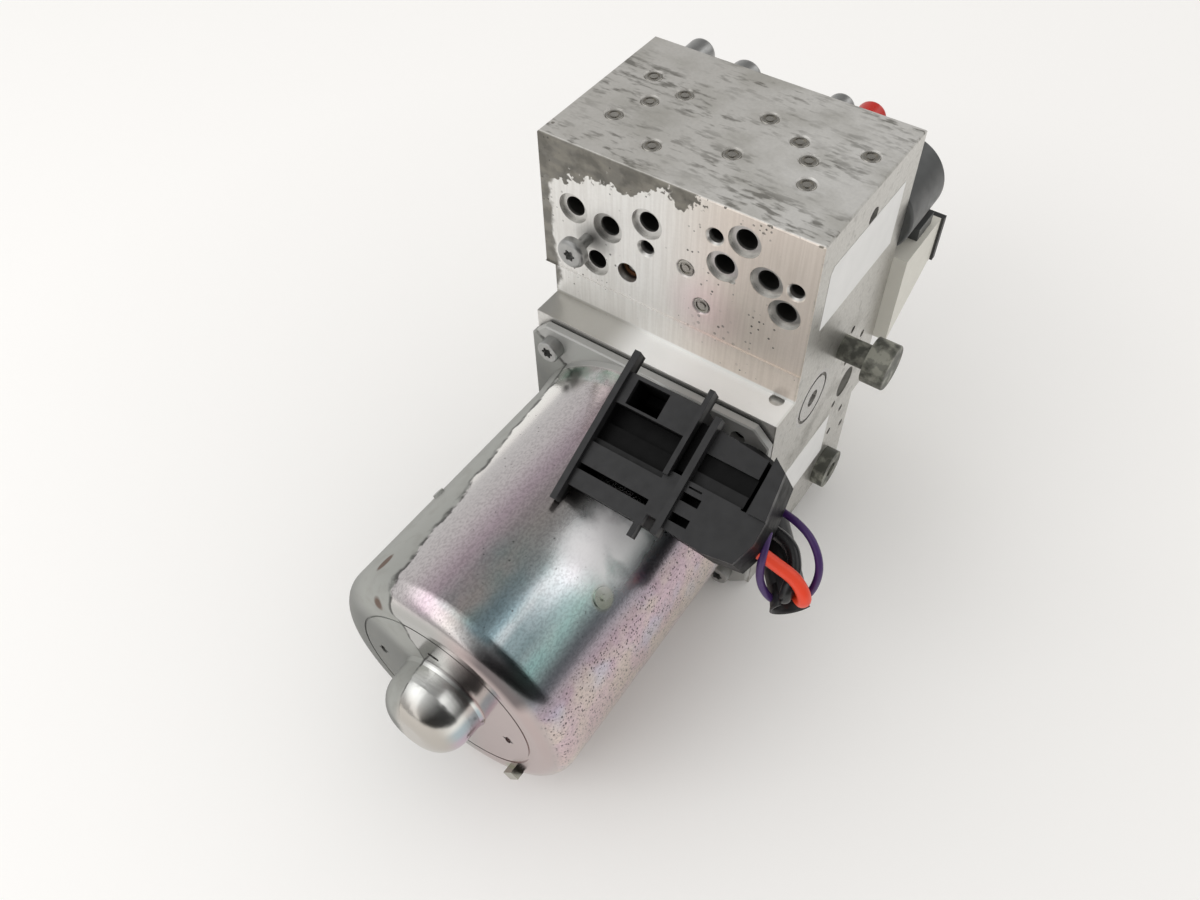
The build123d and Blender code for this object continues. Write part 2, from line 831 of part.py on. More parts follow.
pump_spring_start = piston_foot_x + piston_length + spring_gap
pump_spring_length = pump_plug_x - pump_spring_start
with BuildPart() as pump_spring:
    with BuildLine() as coil:
        Helix(
            pump_spring_length / pump_spring_turns, pump_spring_length, pump_spring_r,
            center=(pump_spring_start, pump_y, axis_z), direction=(1, 0, 0),
        )
    with BuildSketch(Plane(coil.line @ 0, z_dir=coil.line % 0)):
        Circle(pump_wire_r)
    sweep(path=coil.line, is_frenet=True)
    split(bisect_by=x_plane(pump_spring_start), keep=Keep.TOP)
    split(bisect_by=x_plane(pump_plug_x), keep=Keep.BOTTOM)
save_pair(pump_spring, "pump_springs")


# ------------------------------------------------------------------ motor, fixed pieces
motor_axis = Axis((0, 0, axis_z), (0, 1, 0))
shield_front = flange_back - shield_t
card_front = shield_front - card_t

with BuildPart() as motor_gasket:
    with BuildSketch(y_plane(motor_face)):
        with Locations((0, axis_z)):
            Rectangle(2 * (flange_half_w - gasket_inset), 2 * (flange_half_h - gasket_inset))
        chamfer(vertices(), flange_corner)
        with Locations((0, axis_z)):
            Circle(gasket_r, mode=Mode.SUBTRACT)
        with Locations(*screw_corners, empty_corner):
            Circle(screw_d / 2 + screw_clearance, mode=Mode.SUBTRACT)
    extrude(amount=gasket_t)
save(motor_gasket, "motor_gasket")

with BuildPart() as motor_can:
    with BuildSketch(y_plane(flange_back)):
        with Locations((0, axis_z)):
            Rectangle(2 * flange_half_w, 2 * flange_half_h)
        chamfer(vertices(), flange_corner)
    extrude(amount=flange_t)
    chamfer(motor_can.faces().sort_by(Axis.Y)[0].edges(), edge_break)
    with BuildSketch(Plane.YZ):
        with BuildLine():
            Polyline(
                (flange_back, axis_z), (flange_back, axis_z + can_r), (flange_front, axis_z + can_blend_r),
                (flange_front - can_bead, axis_z + can_bead_r), (flange_front - can_bead_end, axis_z + can_r),
                (can_end, axis_z + can_r), (can_end, axis_z + nose_root_r),
                (can_end - nose_step, axis_z + nose_step_r),
                (nose_end, axis_z + nose_tip_r), (nose_end, axis_z), close=True,
            )
        make_face()
    revolve(axis=motor_axis)
    rims = [e for e in motor_can.edges().filter_by(GeomType.CIRCLE) if abs(e.radius - can_r) < 0.01]
    fillet([e for e in rims if abs(e.center().Y - can_end) < 0.01], can_shoulder)
    rims = motor_can.edges().filter_by(GeomType.CIRCLE)
    fillet([e for e in rims if abs(e.center().Y - nose_end) < 0.01], nose_round)
    with BuildSketch(Plane.YZ):
        with BuildLine():
            Polyline(
                (flange_back, axis_z), (flange_back, axis_z + can_r - can_wall),
                (can_end + can_shoulder, axis_z + can_r - can_wall),
                (can_end + can_wall, axis_z + can_r - can_shoulder),
                (can_end + can_wall, axis_z + nose_bore_r),
                (nose_end + nose_seat_back, axis_z + nose_bore_r),
                (nose_end + can_wall, axis_z + nose_bore_r - nose_seat_back), (nose_end + can_wall, axis_z),
                close=True,
            )
        make_face()
    revolve(axis=motor_axis, mode=Mode.SUBTRACT)
    with BuildSketch(y_plane(flange_back)):
        with Locations(*screw_corners, empty_corner):
            Circle(screw_d / 2 + screw_clearance)
    extrude(amount=flange_t, mode=Mode.SUBTRACT)
    # groove, stake marks and tab of the end
    with BuildSketch(y_plane(can_end)):
        with Locations((0, axis_z)):
            Circle(end_groove_r + end_groove_w / 2)
            Circle(end_groove_r - end_groove_w / 2, mode=Mode.SUBTRACT)
    extrude(amount=-end_groove_depth, mode=Mode.SUBTRACT)
    with BuildSketch(y_plane(can_end)):
        for across, above in stakes:
            with Locations((across, axis_z + above)):
                SlotOverall(*stake_size, rotation=90 + math.degrees(math.atan2(above, across)))
    extrude(amount=-stake_depth, mode=Mode.SUBTRACT)
    with BuildSketch(y_plane(can_end + boss_root)):
        with Locations(end_tab_at):
            Rectangle(*end_tab_size, rotation=end_tab_turn)
    extrude(amount=boss_root + end_tab_out)
    # bosses on the round side
    for angle, place_y, steps in (
        (side_boss_angle, side_boss_y, [(side_boss_r, side_boss_h), (side_boss_pip_r, side_boss_pip_h)]),
        (left_boss_angle, left_boss_y, [(left_boss_r, left_boss_h)]),
    ):
        outward = Vector(math.sin(math.radians(angle)), 0, math.cos(math.radians(angle)))
        foot = Vector(0, place_y, axis_z) + outward * (can_r - boss_root)
        for radius, height in steps:
            with BuildSketch(Plane(origin=foot, z_dir=outward)):
                Circle(radius)
            extrude(amount=boss_root + height, taper=12)
save(motor_can, "motor_can")

with BuildPart() as motor_end_shield:
    with BuildSketch(y_plane(flange_back)):
        with Locations((0, axis_z)):
            Circle(shield_r)
    extrude(amount=shield_t)
    with BuildSketch(y_plane(shield_front)):
        with Locations((0, axis_z)):
            Circle(hub_r)
    extrude(amount=bearing_w + hub_past_bearing - shield_t)
    with BuildSketch(y_plane(flange_back)):
        with Locations((0, axis_z)):
            Circle(bearing_r)
    extrude(amount=bearing_w, mode=Mode.SUBTRACT)
    with BuildSketch(y_plane(flange_back)):
        with Locations((0, axis_z)):
            Circle(race_inner_r - race_lip)
    extrude(amount=bearing_w + hub_past_bearing, mode=Mode.SUBTRACT)
save(motor_end_shield, "motor_end_shield")

with BuildPart() as front_bearing:
    with BuildSketch(y_plane(flange_back)):
        with Locations((0, axis_z)):
            Circle(bearing_r)
            Circle(race_inner_r, mode=Mode.SUBTRACT)
    extrude(amount=bearing_w)
save(front_bearing, "front_bearing")

with BuildPart() as shaft_bushes:
    with BuildSketch(y_plane(nose_end + nose_seat_back + nose_bush_gap + nose_bush_length)):
        with Locations((0, axis_z)):
            Circle(nose_bore_r)
            Circle(shaft_r + shaft_play, mode=Mode.SUBTRACT)
    extrude(amount=nose_bush_length)
    with BuildSketch(y_plane(chamber_end)):
        with Locations((0, axis_z)):
            Circle(tail_seat_r)
            Circle(shaft_r + shaft_play, mode=Mode.SUBTRACT)
    extrude(amount=-tail_bush_length)
save(shaft_bushes, "shaft_bushes")

with BuildPart() as magnets:
    with BuildSketch(y_plane(magnet_start)):
        with Locations((0, axis_z)):
            Circle(can_r - can_wall)
            Circle(magnet_inner_r, mode=Mode.SUBTRACT)
            with PolarLocations(0, 4, start_angle=45):
                Rectangle(3 * can_r, magnet_gap, mode=Mode.SUBTRACT)
    extrude(amount=magnet_start - magnet_end)
save(magnets, "magnets")

with BuildPart() as motor_screws:
    with BuildSketch(y_plane(motor_face + screw_length - screw_end_gap)):
        with Locations(*screw_corners):
            Circle(screw_d / 2)
    extrude(amount=screw_length - screw_end_gap + gasket_t + flange_t)
    with BuildSketch(y_plane(flange_front)):
        with Locations(*screw_corners):
            Circle(screw_head_d / 2)
    extrude(amount=screw_head_h)
    rims = motor_screws.edges().filter_by(GeomType.CIRCLE)
    fillet([e for e in rims if abs(e.center().Y - flange_front + screw_head_h) < 0.01], screw_head_round)
    with BuildSketch(y_plane(flange_front - screw_head_h)):
        with Locations(*screw_corners):
            star(screw_socket_r)
    extrude(amount=-screw_socket_depth, mode=Mode.SUBTRACT)
save(motor_screws, "motor_screws")

with BuildPart() as brush_card:
    with BuildSketch(y_plane(shield_front)):
        with Locations((0, axis_z)):
            Circle(shield_r - card_play)
            Circle(hub_r + card_hole_gap, mode=Mode.SUBTRACT)
    extrude(amount=card_t)
    for side in (-1, 1):
        with BuildSketch(y_plane(card_front)):
            with Locations((side * (holder_outer_x + holder_start_x) / 2, axis_z)):
                Rectangle(holder_outer_x - holder_start_x, brush_h + 2 * holder_wall)
        extrude(amount=card_front - brush_y + brush_w / 2 + holder_wall)
        with BuildSketch(x_plane(side * commutator_r)):
            with Locations((brush_y, axis_z)):
                Rectangle(brush_w, brush_h)
        extrude(amount=side * (holder_cut_end_x - commutator_r), mode=Mode.SUBTRACT)
save(brush_card, "brush_card")

with BuildPart() as brushes:
    for side in (-1, 1):
        with BuildSketch(x_plane(side * brush_start_x)):
            with Locations((brush_y, axis_z)):
                Rectangle(brush_w, brush_h)
        extrude(amount=side * (brush_end_x - brush_start_x))
save(brushes, "brushes")

brush_spring_length = holder_cut_end_x - brush_end_x
with BuildPart() as brush_spring:
    with BuildLine() as coil:
        Helix(
            brush_spring_length / brush_spring_turns, brush_spring_length, brush_spring_r,
            center=(brush_end_x, brush_y, axis_z), direction=(1, 0, 0),
        )
    with BuildSketch(Plane(coil.line @ 0, z_dir=coil.line % 0)):
        Circle(brush_wire_r)
    sweep(path=coil.line, is_frenet=True)
    split(bisect_by=x_plane(brush_end_x), keep=Keep.TOP)
    split(bisect_by=x_plane(holder_cut_end_x), keep=Keep.BOTTOM)
save_pair(brush_spring, "brush_springs")

# ------------------------------------------------------------------ motor, turning pieces
with BuildPart() as motor_shaft:
    with BuildSketch(y_plane(shaft_tail_y)):
        with Locations((0, axis_z)):
            Circle(shaft_r)
    extrude(amount=shaft_tail_y - shaft_nose_y)
    chamfer(motor_shaft.edges().filter_by(GeomType.CIRCLE), shaft_edge)
save(motor_shaft, "motor_shaft")

with BuildPart() as bearing_race:
    with BuildSketch(y_plane(flange_back)):
        with Locations((0, axis_z)):
            Circle(race_outer_r)
    extrude(amount=bearing_w)
    with Locations(y_plane(flange_back - bearing_w / 2)):
        with Locations((0, axis_z)):
            with PolarLocations(ball_pitch_r, ball_count):
                Sphere(ball_r)
    with BuildSketch(y_plane(flange_back - bearing_w / 2 - cage_offset)):
        with Locations((0, axis_z)):
            Circle(ball_pitch_r + cage_w / 2)
            Circle(ball_pitch_r - cage_w / 2, mode=Mode.SUBTRACT)
    extrude(amount=cage_t)
    with BuildSketch(y_plane(flange_back)):
        with Locations((0, axis_z)):
            Circle(shaft_r)
    extrude(amount=bearing_w, mode=Mode.SUBTRACT)
save(bearing_race, "bearing_race")

with BuildPart() as eccentric:
    with BuildSketch(y_plane(pump_y + eccentric_length / 2)):
        with Locations((0, axis_z + throw)):
            Circle(eccentric_r)
        with Locations((0, axis_z)):
            Circle(shaft_r, mode=Mode.SUBTRACT)
    extrude(amount=eccentric_length)
save(eccentric, "eccentric")

with BuildPart() as cam_ring:
    with BuildSketch(y_plane(pump_y + cam_ring_length / 2)):
        with Locations((0, axis_z + throw)):
            Circle(cam_ring_r)
            Circle(eccentric_r, mode=Mode.SUBTRACT)
    extrude(amount=cam_ring_length)
save(cam_ring, "cam_ring")

with BuildPart() as armature_core:
    with BuildSketch(y_plane(core_start)):
        with Locations((0, axis_z)):
            Circle(core_r)
            Circle(shaft_r, mode=Mode.SUBTRACT)
            with PolarLocations(slot_pitch_r, slot_count):
                SlotOverall(slot_length, slot_w, mode=Mode.SUBTRACT)
            with PolarLocations(slot_mouth_r, slot_count):
                Rectangle(slot_w, slot_mouth_w, mode=Mode.SUBTRACT)
    extrude(amount=core_start - core_end)
save(armature_core, "armature_core")

with BuildPart() as armature_windings:
    for start, length in ((core_start + end_turn_t, end_turn_t), (core_end, end_turn_t)):
        with BuildSketch(y_plane(start)):
            with Locations((0, axis_z)):
                Circle(core_r - end_turn_inset)
                Circle(end_turn_inner_r, mode=Mode.SUBTRACT)
        extrude(amount=length)
    rims = armature_windings.edges().filter_by(GeomType.CIRCLE)
    ends = (core_start + end_turn_t, core_end - end_turn_t)
    fillet([e for e in rims if min(abs(e.center().Y - end) for end in ends) < 0.01], end_turn_round)
    with BuildSketch(y_plane(core_start)):
        with Locations((0, axis_z)):
            with PolarLocations(slot_pitch_r, slot_count):
                SlotOverall(slot_length, slot_w)
    extrude(amount=core_start - core_end)
save(armature_windings, "armature_windings")

with BuildPart() as commutator:
    with BuildSketch(y_plane(commutator_start)):
        with Locations((0, axis_z)):
            Circle(commutator_r)
            Circle(shaft_r, mode=Mode.SUBTRACT)
            with PolarLocations(commutator_r, 2 * slot_count):
                Rectangle(*commutator_cut, mode=Mode.SUBTRACT)
    extrude(amount=commutator_start - commutator_end)
save(commutator, "commutator")

# ------------------------------------------------------------------ valves and coils
with BuildPart() as valve_cartridges:
    with BuildSketch(y_plane(block_back)):
        with Locations(*valves):
            Circle(valve_body_r)
    extrude(amount=valve_body_depth)
    with BuildSketch(y_plane(block_back - valve_body_depth)):
        with Locations(*valves):
            Circle(valve_nose_r)
    extrude(amount=valve_nose_depth)
    with BuildSketch(y_plane(block_back)):
        with Locations(*valves):
            Circle(valve_flange_r)
    extrude(amount=-valve_flange_t)
    with BuildSketch(y_plane(block_back)):
        with Locations(*valves):
            Circle(sleeve_r)
    extrude(amount=block_back - sleeve_end)
    rims = valve_cartridges.edges().filter_by(GeomType.CIRCLE)
    fillet([e for e in rims if abs(e.center().Y - sleeve_end) < 0.01], sleeve_round)
    with BuildSketch(y_plane(sleeve_bore_start)):
        with Locations(*valves):
            Circle(sleeve_bore_r)
    extrude(amount=sleeve_bore_start - sleeve_end + sleeve_cap_t, mode=Mode.SUBTRACT)
    with BuildSketch(y_plane(sleeve_bore_start)):
        with Locations(*valves):
            Circle(valve_inlet_r)
    extrude(amount=sleeve_bore_start - block_back + valve_body_depth + valve_nose_depth, mode=Mode.SUBTRACT)
save(valve_cartridges, "valve_cartridges")

for number, place in enumerate(valves, start=1):
    with BuildPart() as valve_plunger:
        with BuildSketch(y_plane(plunger_end)):
            with Locations(place):
                Circle(plunger_r)
        extrude(amount=plunger_end - plunger_start)
        chamfer(valve_plunger.edges().filter_by(GeomType.CIRCLE), plunger_edge)
    save(valve_plunger, f"valve_plunger_{number}")

with BuildPart() as coil_yokes:
    with BuildSketch(y_plane(block_back + floor_t)):
        with Locations(*valves):
            Circle(yoke_r)
    extrude(amount=block_back + floor_t - coil_back)
    with BuildSketch(y_plane(block_back + floor_t + yoke_wall)):
        with Locations(*valves):
            Circle(yoke_r - yoke_wall)
    extrude(amount=block_back + floor_t + yoke_wall - coil_back, mode=Mode.SUBTRACT)
    with BuildSketch(y_plane(block_back + floor_t)):
        with Locations(*valves):
            Circle(sleeve_r + yoke_hole_gap)
    extrude(amount=-yoke_wall, mode=Mode.SUBTRACT)
save(coil_yokes, "coil_yokes")

with BuildPart() as coil_bobbins:
    bobbin_start = block_back + floor_t + yoke_wall
    for start in (bobbin_start, coil_back - bobbin_flange_t):
        with BuildSketch(y_plane(start)):
            with Locations(*valves):
                Circle(bobbin_flange_r)
        extrude(amount=-bobbin_flange_t)
    with BuildSketch(y_plane(bobbin_start)):
        with Locations(*valves):
            Circle(coil_inner_r)
    extrude(amount=bobbin_start - coil_back)
    with BuildSketch(y_plane(bobbin_start)):
        with Locations(*valves):
            Circle(sleeve_r + bobbin_gap)
    extrude(amount=bobbin_start - coil_back, mode=Mode.SUBTRACT)
save(coil_bobbins, "coil_bobbins")

with BuildPart() as coil_windings:
    with BuildSketch(y_plane(bobbin_start + bobbin_flange_t)):
        with Locations(*valves):
            Circle(coil_r)
        with Locations(*valves):
            Circle(coil_inner_r, mode=Mode.SUBTRACT)
    extrude(amount=bobbin_start + 2 * bobbin_flange_t - coil_back)
save(coil_windings, "coil_windings")

# ------------------------------------------------------------------ coil housing and connector
housing_w = housing_right - housing_left
housing_h = housing_top - housing_bottom
housing_mid = ((housing_left + housing_right) / 2, (housing_bottom + housing_top) / 2)
posts = [
    (x, z) for x in (housing_left + post_inset, housing_right - post_inset)
    for z in (housing_bottom + post_inset, housing_top - post_inset)
]
wing_profile = [
    (block_back, wing_front_z), (housing_back - wing_back_step, wing_z), (housing_back, wing_z),
    (housing_back, housing_top), (block_back, housing_top),
]

with BuildPart() as coil_housing:
    with BuildSketch(y_plane(block_back)):
        with Locations(housing_mid):
            RectangleRounded(housing_w, housing_h, housing_corner)
    extrude(amount=block_back - housing_back)
    with BuildSketch(x_plane(housing_right - wing_overlap)):
        with BuildLine():
            Polyline(*wing_profile, close=True)
        make_face()
    extrude(amount=wing_right - housing_right + wing_overlap)
    with BuildSketch(y_plane(block_back + floor_t)):
        with Locations(housing_mid):
            RectangleRounded(housing_w - 2 * housing_wall, housing_h - 2 * housing_wall, housing_inner_corner)
    extrude(amount=block_back + floor_t - housing_back, mode=Mode.SUBTRACT)
    with BuildSketch(y_plane(block_back)):
        with Locations(*valves):
            Circle(valve_flange_r + yoke_gap)
    extrude(amount=-floor_t, mode=Mode.SUBTRACT)
    with BuildSketch(y_plane(block_back + floor_t)):
        with Locations(*posts):
            Circle(post_r)
    extrude(amount=block_back + floor_t - board_y)
    with BuildSketch(y_plane(block_back)):
        with Locations((shroud_x, shroud_z)):
            Circle(shroud_r)
    extrude(amount=block_back - housing_back, mode=Mode.SUBTRACT)
save(coil_housing, "coil_housing")

with BuildPart() as control_board:
    with BuildSketch(y_plane(board_y)):
        with Locations(housing_mid):
            Rectangle(
                housing_w - 2 * housing_wall - 2 * board_play, housing_h - 2 * housing_wall - 2 * board_play,
            )
    extrude(amount=-board_t)
    with BuildSketch(y_plane(board_y + board_t)):
        with Locations(*chips):
            Rectangle(chip_w, chip_w)
        with Locations(*small_chips):
            Rectangle(*small_chip)
    extrude(amount=-chip_t)
save(control_board, "control_board")

with BuildPart() as housing_cover:
    with BuildSketch(y_plane(housing_back)):
        with Locations(housing_mid):
            RectangleRounded(housing_w, housing_h, housing_corner)
        with Locations(((housing_right + wing_right) / 2, (wing_z + housing_top) / 2)):
            Rectangle(wing_right - housing_right + 2 * cover_overlap, housing_top - wing_z)
        with Locations((shroud_x, shroud_z)):
            Circle(shroud_r + cover_gap, mode=Mode.SUBTRACT)
    extrude(amount=-cover_t)
save(housing_cover, "housing_cover")

with BuildPart() as connector_shroud:
    with BuildSketch(y_plane(block_back)):
        with Locations((shroud_x, shroud_z)):
            Circle(shroud_r)
    extrude(amount=block_back - shroud_back)
    fillet(connector_shroud.edges().filter_by(GeomType.CIRCLE), shroud_round)
    with BuildSketch(y_plane(block_back + shroud_floor)):
        with Locations((shroud_x, shroud_z)):
            Circle(shroud_r - shroud_wall)
    extrude(amount=block_back + shroud_floor - shroud_back, mode=Mode.SUBTRACT)
    with BuildSketch(y_plane(block_back + shroud_latch_length)):
        with Locations(shroud_latch):
            Rectangle(4.0, 5.0)
        with Locations(shroud_latch_bar):
            Rectangle(5.0, 2.0)
        with Locations((shroud_x, shroud_z)):
            Circle(shroud_r - shroud_wall / 2, mode=Mode.SUBTRACT)
    extrude(amount=-shroud_latch_length)
save(connector_shroud, "connector_shroud")

with BuildPart() as connector_pins:
    with BuildSketch(y_plane(block_back + shroud_floor)):
        with Locations((shroud_x, shroud_z)):
            with GridLocations(pin_pitch, pin_pitch, 3, 3):
                Rectangle(pin_w, pin_t)
    extrude(amount=-pin_length)
save(connector_pins, "connector_pins")

with BuildPart() as dome_sleeves:
    for x, r, end in domes:
        with BuildSketch(y_plane(block_back - dome_depth)):
            with Locations((x, dome_z)):
                Circle(r)
        extrude(amount=block_back - dome_depth - end)
        rims = dome_sleeves.edges().filter_by(GeomType.CIRCLE)
        fillet([e for e in rims if abs(e.center().Y - end) < 0.01], dome_round)
    with BuildSketch(y_plane(block_back - dome_depth)):
        with Locations((red_cap_x, dome_z)):
            Circle(nipple_r)
    extrude(amount=block_back - dome_depth - red_cap_end + red_cap_end_t)
save(dome_sleeves, "dome_sleeves")

with BuildPart() as red_cap:
    with BuildSketch(y_plane(block_back)):
        with Locations((red_cap_x, dome_z)):
            Circle(red_cap_r)
    extrude(amount=block_back - red_cap_end)
    fillet(red_cap.edges().filter_by(GeomType.CIRCLE).sort_by(Axis.Y)[-1], red_cap_round)
    with BuildSketch(y_plane(block_back)):
        with Locations((red_cap_x, dome_z)):
            Circle(nipple_r)
    extrude(amount=block_back - red_cap_end + red_cap_end_t, mode=Mode.SUBTRACT)
save(red_cap, "red_cap")

# ------------------------------------------------------------------ electrical bracket
bracket_normal = (0, -math.sin(math.radians(bracket_tilt)), math.cos(math.radians(bracket_tilt)))
bracket_plane = Plane(origin=bracket_origin, x_dir=(1, 0, 0), z_dir=bracket_normal)


def area(left, right, front, back):
    """Rectangle in the bracket plane given by its four sides."""
    with Locations(((left + right) / 2, (front + back) / 2)):
        Rectangle(right - left, back - front)


with BuildPart() as connector_bracket:
    # part over the can, hollow underneath, standing on it with its walls
    with BuildSketch(bracket_plane):
        area(fin_left, rib_right, body_front, window_frame_back)
    extrude(amount=-bracket_depth)
    with BuildSketch(bracket_plane.offset(-bracket_skin)):
        area(*hollow)
    extrude(amount=-bracket_depth, mode=Mode.SUBTRACT)
    # part beside the can
    with BuildSketch(bracket_plane):
        with BuildLine():
            Polyline(*side_part, close=True)
        make_face()
    extrude(amount=-side_part_t)
    with BuildSketch(bracket_plane.offset(-side_part_t)):
        area(*lead_block)
    extrude(amount=-lead_block_t)
    # upstanding ribs
    with BuildSketch(bracket_plane.offset(-rib_root)):
        area(fin_left, fin_right, fin_front, fin_back)
        area(rib_left, rib_right, rib_front, rib_back)
        area(divider_left, divider_right, divider_front, divider_back)
    extrude(amount=rib_root + rib_h)
    with BuildSketch(bracket_plane.offset(-rib_root)):
        area(*small_fin)
    extrude(amount=rib_root)
    with BuildSketch(bracket_plane.offset(-rib_root)):
        with BuildLine():
            Polyline(*end_plate, close=True)
        make_face()
    extrude(amount=rib_root + end_plate_h)
    # openings, grooves and panels of the upper side
    with BuildSketch(bracket_plane):
        area(*window)
        area(*long_slot)
    extrude(amount=-through_depth, mode=Mode.SUBTRACT)
    for panel, depth in panels:
        with BuildSketch(bracket_plane):
            area(*panel)
        extrude(amount=-depth, mode=Mode.SUBTRACT)
    # room for the can, its blend and the flange
    with BuildSketch(y_plane(flange_front - can_bead_end)):
        with Locations((0, axis_z)):
            Circle(can_r)
    extrude(amount=flange_front - can_bead_end - can_end, mode=Mode.SUBTRACT)
    with BuildSketch(y_plane(0)):
        with Locations((0, axis_z)):
            Circle(can_blend_r + can_gap)
    extrude(amount=-flange_front + can_bead_end, mode=Mode.SUBTRACT)
    with BuildSketch(y_plane(0)):
        Rectangle(6 * can_r, 12 * can_r)
    extrude(amount=-flange_front + flange_gap, mode=Mode.SUBTRACT)
save(connector_bracket, "connector_bracket")

# ------------------------------------------------------------------ leads
sheath_route = [Vector(*point) for point in sheath_points]
first_run = (sheath_route[1] - sheath_route[0]).normalized()
last_run = (sheath_route[2] - sheath_route[1]).normalized()
sheath_route[0] += first_run * grommet_out
headings = [first_run, (first_run + last_run).normalized(), last_run]


def offset_route(across, above):
    """The sheath's route moved sideways and up, for a lead inside it."""
    moved = []
    for point, heading in zip(sheath_route, headings):
        right = heading.cross(Vector(0, 0, 1)).normalized()
        moved.append(point + right * across + right.cross(heading) * above)
    return moved


def bend_radii(points, label):
    """Largest tangent arcs that leave a tenth of the shorter run straight."""
    radii = []
    for before, corner, after in zip(points, points[1:], points[2:]):
        half_turn = math.radians((corner - before).get_angle(after - corner)) / 2
        radii.append(0.45 * min((corner - before).length, (after - corner).length) / math.tan(half_turn))
    print(label, "bend radii", [round(radius, 1) for radius in radii])
    return radii


def lead_points(place, past, points):
    """Whole route of a lead: inside the sheath, past its mouth and on to the plug."""
    route = offset_route(*place)
    route[2] = route[2] + last_run * past
    return route + [Vector(*point) for point in points]


with BuildPart() as cable_grommet:
    with BuildSketch(Plane(origin=sheath_route[0], z_dir=first_run)):
        Circle(grommet_r)
    extrude(amount=-grommet_out - 2 * grommet_r)
    split(bisect_by=y_plane(flange_front), keep=Keep.TOP)
    with BuildSketch(y_plane(0)):
        with Locations((0, axis_z)):
            Circle(can_blend_r + grommet_gap)
    extrude(amount=-2 * flange_front, mode=Mode.SUBTRACT)
save(cable_grommet, "cable_grommet")

with BuildPart() as cable_sheath:
    with BuildLine() as route:
        FilletPolyline(*sheath_route, radius=bend_radii(sheath_route, "cable_sheath"))
    with BuildSketch(Plane(route.line @ 0, z_dir=route.line % 0)):
        Circle(sheath_r)
        Circle(sheath_bore_r, mode=Mode.SUBTRACT)
    sweep(path=route.line)
print("cable_sheath length", round(route.wires()[0].length, 1))
save(cable_sheath, "cable_sheath")

leads = [
    ("red_lead", power_r, (-power_place[0], power_place[1]), red_past, red_points),
    ("black_lead", power_r, power_place, black_past, black_points),
    ("violet_lead_a", signal_r, signal_place, violet_a_past, violet_a_points),
    ("violet_lead_b", signal_r, (-signal_place[0], signal_place[1]), violet_b_past, violet_b_points),
]
for label, radius, place, past, points in leads:
    path_points = lead_points(place, past, points)
    with BuildPart() as lead:
        with BuildLine() as route:
            FilletPolyline(*path_points, radius=bend_radii(path_points, label))
        with BuildSketch(Plane(route.line @ 0, z_dir=route.line % 0)):
            Circle(radius)
        sweep(path=route.line)
    length = route.wires()[0].length
    fill = lead.part.volume / (math.pi * radius**2 * length)
    print(label, "length", round(length, 1), "fill", round(fill, 4))
    save(lead, label)
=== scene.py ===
import bpy
import math
from mathutils import Matrix, Vector


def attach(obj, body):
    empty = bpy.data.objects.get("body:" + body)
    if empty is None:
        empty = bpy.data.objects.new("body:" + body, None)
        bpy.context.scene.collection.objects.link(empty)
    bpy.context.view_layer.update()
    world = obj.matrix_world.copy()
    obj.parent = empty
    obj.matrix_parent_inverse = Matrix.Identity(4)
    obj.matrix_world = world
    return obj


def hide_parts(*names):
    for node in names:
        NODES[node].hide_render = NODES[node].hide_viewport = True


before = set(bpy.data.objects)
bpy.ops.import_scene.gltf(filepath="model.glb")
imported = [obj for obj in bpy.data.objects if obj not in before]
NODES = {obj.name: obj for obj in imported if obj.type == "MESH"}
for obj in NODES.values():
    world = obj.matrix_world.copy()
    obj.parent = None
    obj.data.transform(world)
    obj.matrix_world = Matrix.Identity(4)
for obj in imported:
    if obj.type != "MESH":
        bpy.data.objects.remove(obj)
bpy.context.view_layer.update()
SCENE = bpy.context.scene

# ------------------------------------------------------------------ camera
cam_data = bpy.data.cameras.new("camera")
cam_data.lens = 30.36
cam_data.sensor_width = 36.0
cam_data.clip_start = 0.01
cam = bpy.data.objects.new("camera", cam_data)
SCENE.collection.objects.link(cam)
right = Vector((0.81626, 0.57741, -0.01803))
up = Vector((-0.44188, 0.64416, 0.62433))
cam.matrix_world = Matrix.Translation((0.12471, -0.24385, 0.34141)) @ Matrix(
    (right, up, right.cross(up))
).transposed().to_4x4()
SCENE.camera = cam

# ------------------------------------------------------------------ leads, drawn as cords near their CAD routes
RED_ROUTE = [
    (0.04985, -0.05240, 0.07721), (0.06377, -0.06702, 0.07489), (0.0792, -0.0832, 0.0697),
    (0.0824, -0.0852, 0.0752), (0.0776, -0.0836, 0.0806), (0.0702, -0.0842, 0.0836), (0.0644, -0.0856, 0.0875)]
BLACK_ROUTE = [
    (0.04652, -0.05558, 0.07721), (0.06044, -0.07020, 0.07489), (0.0756, -0.0860, 0.0698),
    (0.0762, -0.0862, 0.0760), (0.0750, -0.0790, 0.0792), (0.0690, -0.0730, 0.0825), (0.0589, -0.0736, 0.0826)]
VIOLET_A_ROUTE = [
    (0.04664, -0.05483, 0.07324), (0.06041, -0.06929, 0.07095), (0.0748, -0.0844, 0.0662),
    (0.0714, -0.0884, 0.0712), (0.0674, -0.0888, 0.0790), (0.0666, -0.0864, 0.0900), (0.0648, -0.0805, 0.0915)]
VIOLET_B_ROUTE = [
    (0.04910, -0.05249, 0.07324), (0.06286, -0.06694, 0.07095), (0.0776, -0.0822, 0.0661),
    (0.0820, -0.0790, 0.0710), (0.0810, -0.0744, 0.0816), (0.0710, -0.0696, 0.0886), (0.0589, -0.0673, 0.0855)]


